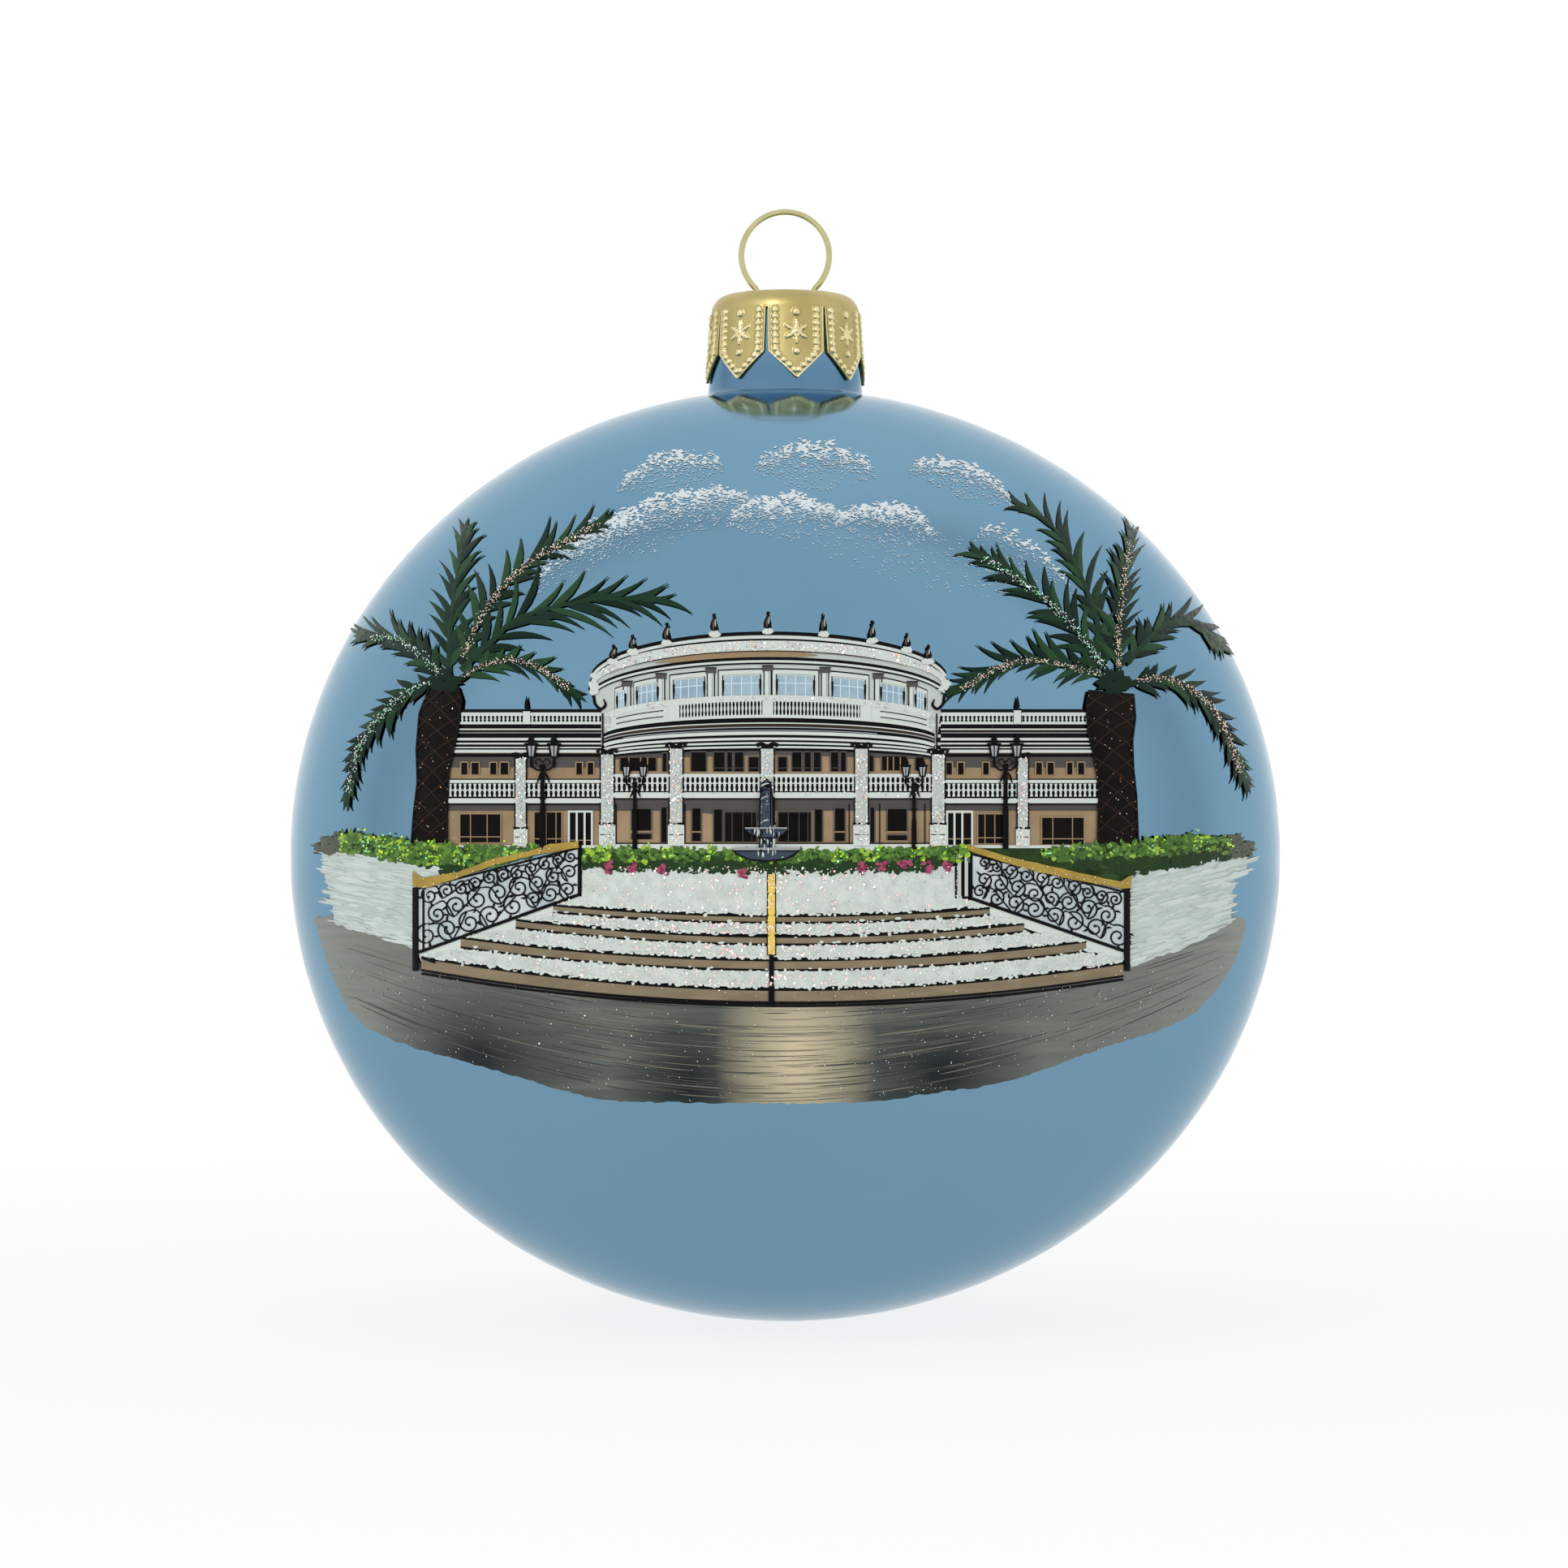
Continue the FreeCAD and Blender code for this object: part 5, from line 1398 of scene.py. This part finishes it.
BED = [(-20.7, 0.6), (-13.8, 0.8), (-2.3, 0.3), (10.9, 0.6), (18.8, 1.0), (18.8, -0.5), (13.4, -1.9),
       (-0.6, -2.1), (-15.5, -1.7), (-20.7, -1.4)]
LEFT_HEDGE = [(-47.9, 0.3), (-47.6, 1.4), (-45.2, 2.2), (-41.1, 1.8), (-33.6, 0.9), (-27.0, 0.8),
              (-22.1, 1.0), (-29.0, -1.0), (-34.0, -2.0), (-38.6, -0.7), (-43.5, 0.0)]
RIGHT_HEDGE = [(25.8, -0.4), (26.8, 0.7), (35.7, 1.3), (41.4, 2.1), (45.6, 1.9), (47.5, 1.1), (47.4, -0.1),
               (43.9, -0.7), (39.0, -1.4), (34.8, -2.0), (29.9, -1.3)]
FLOWERS = [(-18.0, -1.2), (-15.6, -1.3), (-12.6, -1.4), (-4.4, -1.9), (9.9, -1.2), (12.0, -0.9), (14.6, -1.4),
           (16.4, -1.1), (7.7, -1.3)]
HEDGE_END = 45.4            # beyond this far out, the hedges run out in a dark smudge


def make_greenery():
    ground = mottled("hedge_ground", (30, 46, 26), (58, 84, 44), 420, 0.5)
    leaves = [enamel("leaf_mid", (70, 106, 46)), enamel("leaf_light", (100, 138, 56)),
              enamel("leaf_dark", (40, 62, 36)), enamel("leaf_yellow", (150, 188, 66))]
    smudge = enamel("hedge_end_smudge", (84, 90, 78), 0.5)
    petals = [enamel("flower_burgundy", (128, 50, 76)), enamel("flower_rose", (160, 78, 102))]
    chips = [GREEN_CHIP, GREEN_CHIP, MINT_CHIP, chip("glitter_chartreuse", (214, 240, 70))]
    # the ground behind the right railing is filled up to the building's foot
    shade = Paint("right_hedge_shade", "hedge_green")
    shade.area([(18.7, 0.9), (30.0, 0.9), (36.0, -0.4), (37.5, -1.6), (35.6, -2.9), (30.0, -2.0),
                (22.0, -0.2), (18.7, 0.7)], ground, 1, 1.0)
    shade.piece()
    # foot: where the dark foot ends, as its u and v
    for name, slot, node, outline, count, foot in (
            ("flower_bed", "bed_green", "flower_bed_glitter", BED, 900, ((-20, 18), (-0.7, -0.7))),
            ("left_hedge", "hedge_green", "left_hedge_glitter", LEFT_HEDGE, 620, ((-47, -25), (-0.6, -1.5))),
            ("right_hedge", "hedge_green", "right_hedge_glitter", RIGHT_HEDGE, 560, ((26, 47), (-0.7, 0.4)))):
        base = Paint(name, slot, node)
        base.area(outline, ground, 3, 0.7, 0.1, 0.8, 0.9, 0.35)
        base.piece()
        tufts = Paint(f"{name}_leaves", slot)
        shine = Paint(f"{name}_glitter", slot)
        for u, v in scatter(outline, count):
            # bright tufts stand in clumps along the top; the foot of the bed stays dark
            crest = ripple((u, 0), 1.6, 2.0)
            high = abs(u) < HEDGE_END and v > np.interp(u, *foot) + 0.35 * ripple((u, 0), 2.3, 4.0)
            tone = dice.choice(leaves[:2] + leaves[:1] + leaves[3:] * (crest > 0)) if high else leaves[2]
            if abs(u) > HEDGE_END:
                tone = smudge
            angle = dice.uniform(0.2, 2.9)
            reach = dice.uniform(0.35, 0.8)
            if dice.random() < 0.6:
                tufts.blob(u, v, dice.uniform(0.25, 0.5), dice.uniform(0.2, 0.36), tone,
                           dice.choice([6, 7, 8]), 0.1, dice.uniform(-0.6, 0.6), 7, 0.35)
            else:
                tip = (u + reach * math.cos(angle), v + reach * math.sin(angle))
                tufts.leaf((u, v), tip, dice.uniform(0.2, 0.42), tone, dice.choice([7, 8, 9]),
                           dice.uniform(-0.2, 0.2), 0.06)
            if high and crest > 0.05 and dice.random() < 0.5:
                shine.flakes([(u + dice.gauss(0, 0.2), v + abs(dice.gauss(0.1, 0.3)))], (0.12, 0.3), chips,
                             height(11))
        if name == "flower_bed":
            for u, v in FLOWERS:
                for _ in range(16):
                    tufts.blob(u + dice.gauss(0, 0.24), v + dice.gauss(0, 0.24), 0.24, 0.2,
                               dice.choice(petals), 13, 0.08)
        tufts.piece()
        shine.piece(False)


# ---- Railings -----------------------------------------------------------------------------------
def spiral(middle, radius, start, turns, way):
    """An open scroll winding in to its eye."""
    path = []
    for i in range(int(18 * turns) + 1):
        t = i / (18 * turns)
        angle = start + way * 2 * math.pi * turns * t
        reach = radius * (1 - 0.8 * t)
        path.append((middle[0] + reach * math.cos(angle), middle[1] + reach * math.sin(angle)))
    return path


def make_railing(side, corners, handrail, posts, uprights):
    """corners: bottom near, bottom far, top far and top near of the scrolled panel."""
    near_low, far_low, far_top, near_top = [np.array(c, float) for c in corners]

    def place(s, t):
        return tuple((1 - t) * ((1 - s) * near_low + s * far_low) + t * ((1 - s) * near_top + s * far_top))

    back = Paint(f"{side}_railing_ground", "railing_enamel", f"{side}_railing_paint")
    pale = mottled(f"{side}_railing_pale", (176, 192, 198), (208, 216, 216), 300, 0.5)
    back.area([place(s, 0) for s in np.linspace(0, 1, 12)] + [place(s, 1) for s in np.linspace(1, 0, 12)],
              pale, 5, 1.0)
    back.piece()
    iron = Paint(f"{side}_railing_ironwork", "railing_enamel")
    for t, width in ((0.0, 0.34), (0.97, 0.22)):
        iron.stroke([place(s, t) for s in np.linspace(0, 1, 16)], width, BLACK, 8, 0.04)
    for (u0, v0), (u1, v1), width in posts:
        iron.stroke([(u0, v0), (u1, v1)], width, BLACK, 9, 0.06)
    facing = 1 if far_low[0] > near_low[0] else -1
    length = np.linalg.norm(far_low - near_low)
    for t, share, offset in ((0.2, 0.19, 0.0), (0.52, 0.17, 0.5), (0.82, 0.14, 0.15)):
        s, way, last = 0.05 + 0.02 * offset, 1, None
        while s < 0.95:
            tall = place(s, 1)[1] - place(s, 0)[1]
            radius = share * tall * dice.uniform(0.85, 1.15)
            pitch = 1.95 * radius / length
            centre = place(s + pitch * offset, t + dice.uniform(-0.03, 0.03))
            turn = (math.pi / 2 if way > 0 else -math.pi / 2) + dice.uniform(-0.5, 0.5)
            scroll = spiral(centre, radius, turn, 1.45, way * facing)
            if last:
                middle = ((last[0] + scroll[0][0]) / 2, centre[1] - way * 0.4 * radius)
                iron.stroke(smooth([last, middle, scroll[0]]), 0.15, BLACK, 8, 0.04, (0.5, 1))
            iron.stroke(scroll, 0.17, BLACK, 8, 0.04, (1, 0.7))
            iron.blob(scroll[-1][0], scroll[-1][1], 0.15, 0.15, BLACK, 9, 0.04)
            for twig in (dice.uniform(0.1, 0.3), dice.uniform(0.35, 0.5)):
                root = scroll[int(twig * len(scroll))]
                angle = math.atan2(root[1] - centre[1], root[0] - centre[0]) + dice.uniform(-0.8, 0.8)
                iron.leaf(root, (root[0] + 0.65 * math.cos(angle), root[1] + 0.65 * math.sin(angle)), 0.2,
                          BLACK, 8, 0.3)
            last = scroll[0]
            s += pitch
            way = -way
    for u, low, top in uprights:
        upright(iron, u, low, top, 0.2, BLACK, 9)
        upright(iron, u + 0.36, low + 0.2, top, 0.34, SOFT_WHITE, 8)
    iron.piece()
    rail = Paint(f"{side}_gold_handrail", "railing_enamel")
    rail.area(handrail, GOLD_PAINT, 14, 0.7, 0.1, 0.4, 0.8, 0.08)
    rail.piece()
    shine = Paint(f"{side}_handrail_glitter", "railing_enamel")
    shine.flakes(scatter(handrail, 45), (0.08, 0.16),
                 [GOLD_CHIP, chip(f"{side}_rail_fleck", (220, 176, 70))], height(20))
    shine.piece(False)


def make_railings():
    make_railing(
        "left", [(-37.3, -9.9), (-20.9, -4.0), (-20.9, 0.9), (-37.3, -3.2)],
        [(-37.9, -1.6), (-37.0, -2.3), (-33.3, -1.75), (-29.5, -0.3), (-26.4, 0.3), (-23.9, 1.1),
         (-21.0, 1.4), (-21.0, 0.75), (-25.7, -0.05), (-29.5, -1.0), (-34.3, -2.7), (-36.5, -3.35),
         (-37.9, -3.2)],
        [((-37.6, -3.3), (-37.6, -11.8), 0.62), ((-37.0, -10.4), (-35.6, -10.9), 0.3),
         ((-20.9, -4.2), (-20.9, 1.0), 0.4)],
        [(-36.8, -9.6, -3.6)])
    make_railing(
        "right", [(34.6, -9.8), (18.9, -4.4), (18.7, 0.3), (34.6, -3.6)],
        [(18.5, 1.1), (22.1, 0.0), (26.2, -0.95), (30.3, -1.9), (34.1, -2.7), (35.2, -2.05), (35.2, -3.3),
         (34.4, -3.4), (29.7, -2.6), (25.3, -1.6), (21.5, -0.5), (18.6, 0.45)],
        [((34.75, -3.3), (34.75, -11.8), 0.62), ((18.9, -4.6), (18.9, 0.7), 0.3)],
        [(17.35, -4.4, 0.2), (18.05, -4.4, 0.4)])


# ---- Studio -------------------------------------------------------------------------------------
# Each lamp as its name, place, aim, size, power and whether mirrors and metal show it.
LIGHTS = [
    ("overhead", (0.0, -0.1, 0.7), (0, 0, 0.04), 0.5, 0.5, False),
    ("key", (-0.45, -0.6, 0.45), (0, 0, 0.05), 0.35, 1.5, False),
    ("fill", (0.5, -0.5, 0.2), (0, 0, 0.05), 0.4, 0.5, False),
    ("sparkle", (-0.16, -0.42, 0.34), (0, 0, 0.08), 0.12, 0.7, True),
]
# The tent's brightness by heading, from straight behind the camera (0) to straight behind the ball (1).
TENT = [(0.0, 0.98), (0.45, 1.0), (0.56, 0.86), (0.66, 0.78), (0.75, 1.0), (1.0, 1.08)]
CATCHING = ("stamped_cap", "glitter", "sparkle")
FLOOR_REACH = 3.0
LENS, SENSOR = 103.9, 36


def make_tent(scene):
    """A white tent that the ball mirrors, dimmer beside it; the camera itself sees plain white."""
    scene.world = bpy.data.worlds.new("studio")
    scene.world.use_nodes = True
    tree = scene.world.node_tree
    tree.nodes.clear()
    sky = add_node(tree, "TexCoord").outputs["Generated"]
    level = add_node(tree, "VectorMath", {0: sky, 1: (1, 1, 0)}, operation="MULTIPLY").outputs["Vector"]
    heading = add_node(tree, "VectorMath", {0: level}, operation="NORMALIZE").outputs["Vector"]
    behind = add_node(tree, "SeparateXYZ", {0: heading}).outputs["Y"]
    turned = add_node(tree, "MapRange", {"Value": behind, "From Min": -1}).outputs["Result"]
    ramp = add_node(tree, "ValToRGB", {"Fac": turned})
    stops = ramp.color_ramp.elements
    stops[0].position, stops[1].position = TENT[0][0], TENT[-1][0]
    for place, _ in TENT[1:-1]:
        stops.new(place)
    for stop, (_, value) in zip(stops, TENT):
        stop.color = (value, value, value, 1)
    ray = add_node(tree, "LightPath").outputs
    dimmed = add_node(tree, "MapRange", {"Value": ray["Is Diffuse Ray"], "To Min": 1, "To Max": 0.6})
    lit = {"Color": ramp.outputs["Color"], "Strength": dimmed.outputs["Result"]}
    tent = add_node(tree, "Background", lit)
    plain = add_node(tree, "Background", {"Color": (1, 1, 1, 1)})
    shown = add_node(tree, "MixShader", {0: ray["Is Camera Ray"], 1: tent.outputs[0], 2: plain.outputs[0]})
    add_node(tree, "OutputWorld", {0: shown.outputs[0]})


def make_lights(scene):
    for name, place, aim, size, power, mirrored in LIGHTS:
        lamp = bpy.data.lights.new(name, "AREA")
        lamp.size, lamp.energy = size, power
        light = bpy.data.objects.new(name, lamp)
        light.location = place
        light.rotation_euler = (Vector(aim) - Vector(place)).to_track_quat("-Z", "Y").to_euler()
        light.visible_glossy = mirrored
        scene.collection.objects.link(light)
        if mirrored:
            # only the cap and the glitter catch this small lamp
            catching = bpy.data.collections.new("metal_and_glitter")
            for obj in scene.objects:
                if obj.type == "MESH" and any(word in obj.name for word in CATCHING):
                    catching.objects.link(obj)
            light.light_linking.receiver_collection = catching


def make_floor(scene):
    """Pale paper that fades into the white of the background away from the ball."""
    data = bpy.data.meshes.new("floor")
    corners = [(-1, -1), (1, -1), (1, 1), (-1, 1)]
    data.from_pydata([(x * FLOOR_REACH, y * FLOOR_REACH, 0) for x, y in corners], [], [(0, 1, 2, 3)])
    floor = bpy.data.objects.new("floor", data)
    scene.collection.objects.link(floor)
    paper = Finish("floor_paper", 0.9)
    paper.colour(linear((240, 240, 238))).bump(paper.noise(60), 0.02, 0.1)
    away = paper.node("VectorMath", {0: paper.where}, operation="LENGTH").outputs["Value"]
    matt = paper.tree.nodes["Principled BSDF"].outputs[0]
    mix = paper.node("MixShader", {0: paper.ranged(away, 0.84, 1, 0.02, 0.3), 1: matt,
                                   2: paper.node("Emission").outputs[0]})
    paper.tree.links.new(mix.outputs[0], paper.tree.nodes["Material Output"].inputs[0])
    data.materials.append(paper.material)


def make_camera(scene):
    """Level with the ball's centre, as far off as the viewer that the picture is cast from."""
    lens = bpy.data.cameras.new("camera")
    lens.lens, lens.sensor_width, lens.clip_start = LENS, SENSOR, 0.01
    lens.shift_y, lens.shift_x = 0.0453, -0.0008
    scene.camera = bpy.data.objects.new("camera", lens)
    scene.camera.location = (0, -VIEWER * MM, HALF_HEIGHT * MM)
    scene.camera.rotation_euler = (math.pi / 2, 0, 0)
    scene.collection.objects.link(scene.camera)


def make_studio():
    scene = bpy.context.scene
    scene.view_settings.view_transform = "Standard"
    for make in (make_tent, make_lights, make_floor, make_camera):
        make(scene)


make_ball()
make_cap()
make_wire()
make_clouds()
make_road()
mansion_lines = Paint("mansion_line_work", "stone_enamel")
mansion_glitter = Paint("mansion_snow_glitter", "stone_enamel")
make_wings(mansion_lines, mansion_glitter)
make_middle_block(mansion_lines, mansion_glitter)
make_drum(mansion_lines, mansion_glitter)
mansion_lines.piece()
mansion_glitter.piece(False)
make_statues()
make_lamps()
for palm, side, fronds, left_edge, right_edge, heart in PALMS:
    make_crown(palm, side, fronds, heart)
    make_trunk(palm, side, left_edge, right_edge)
make_steps()
make_planters()
make_greenery()
make_fountain()
make_railings()
make_handrail()
make_studio()
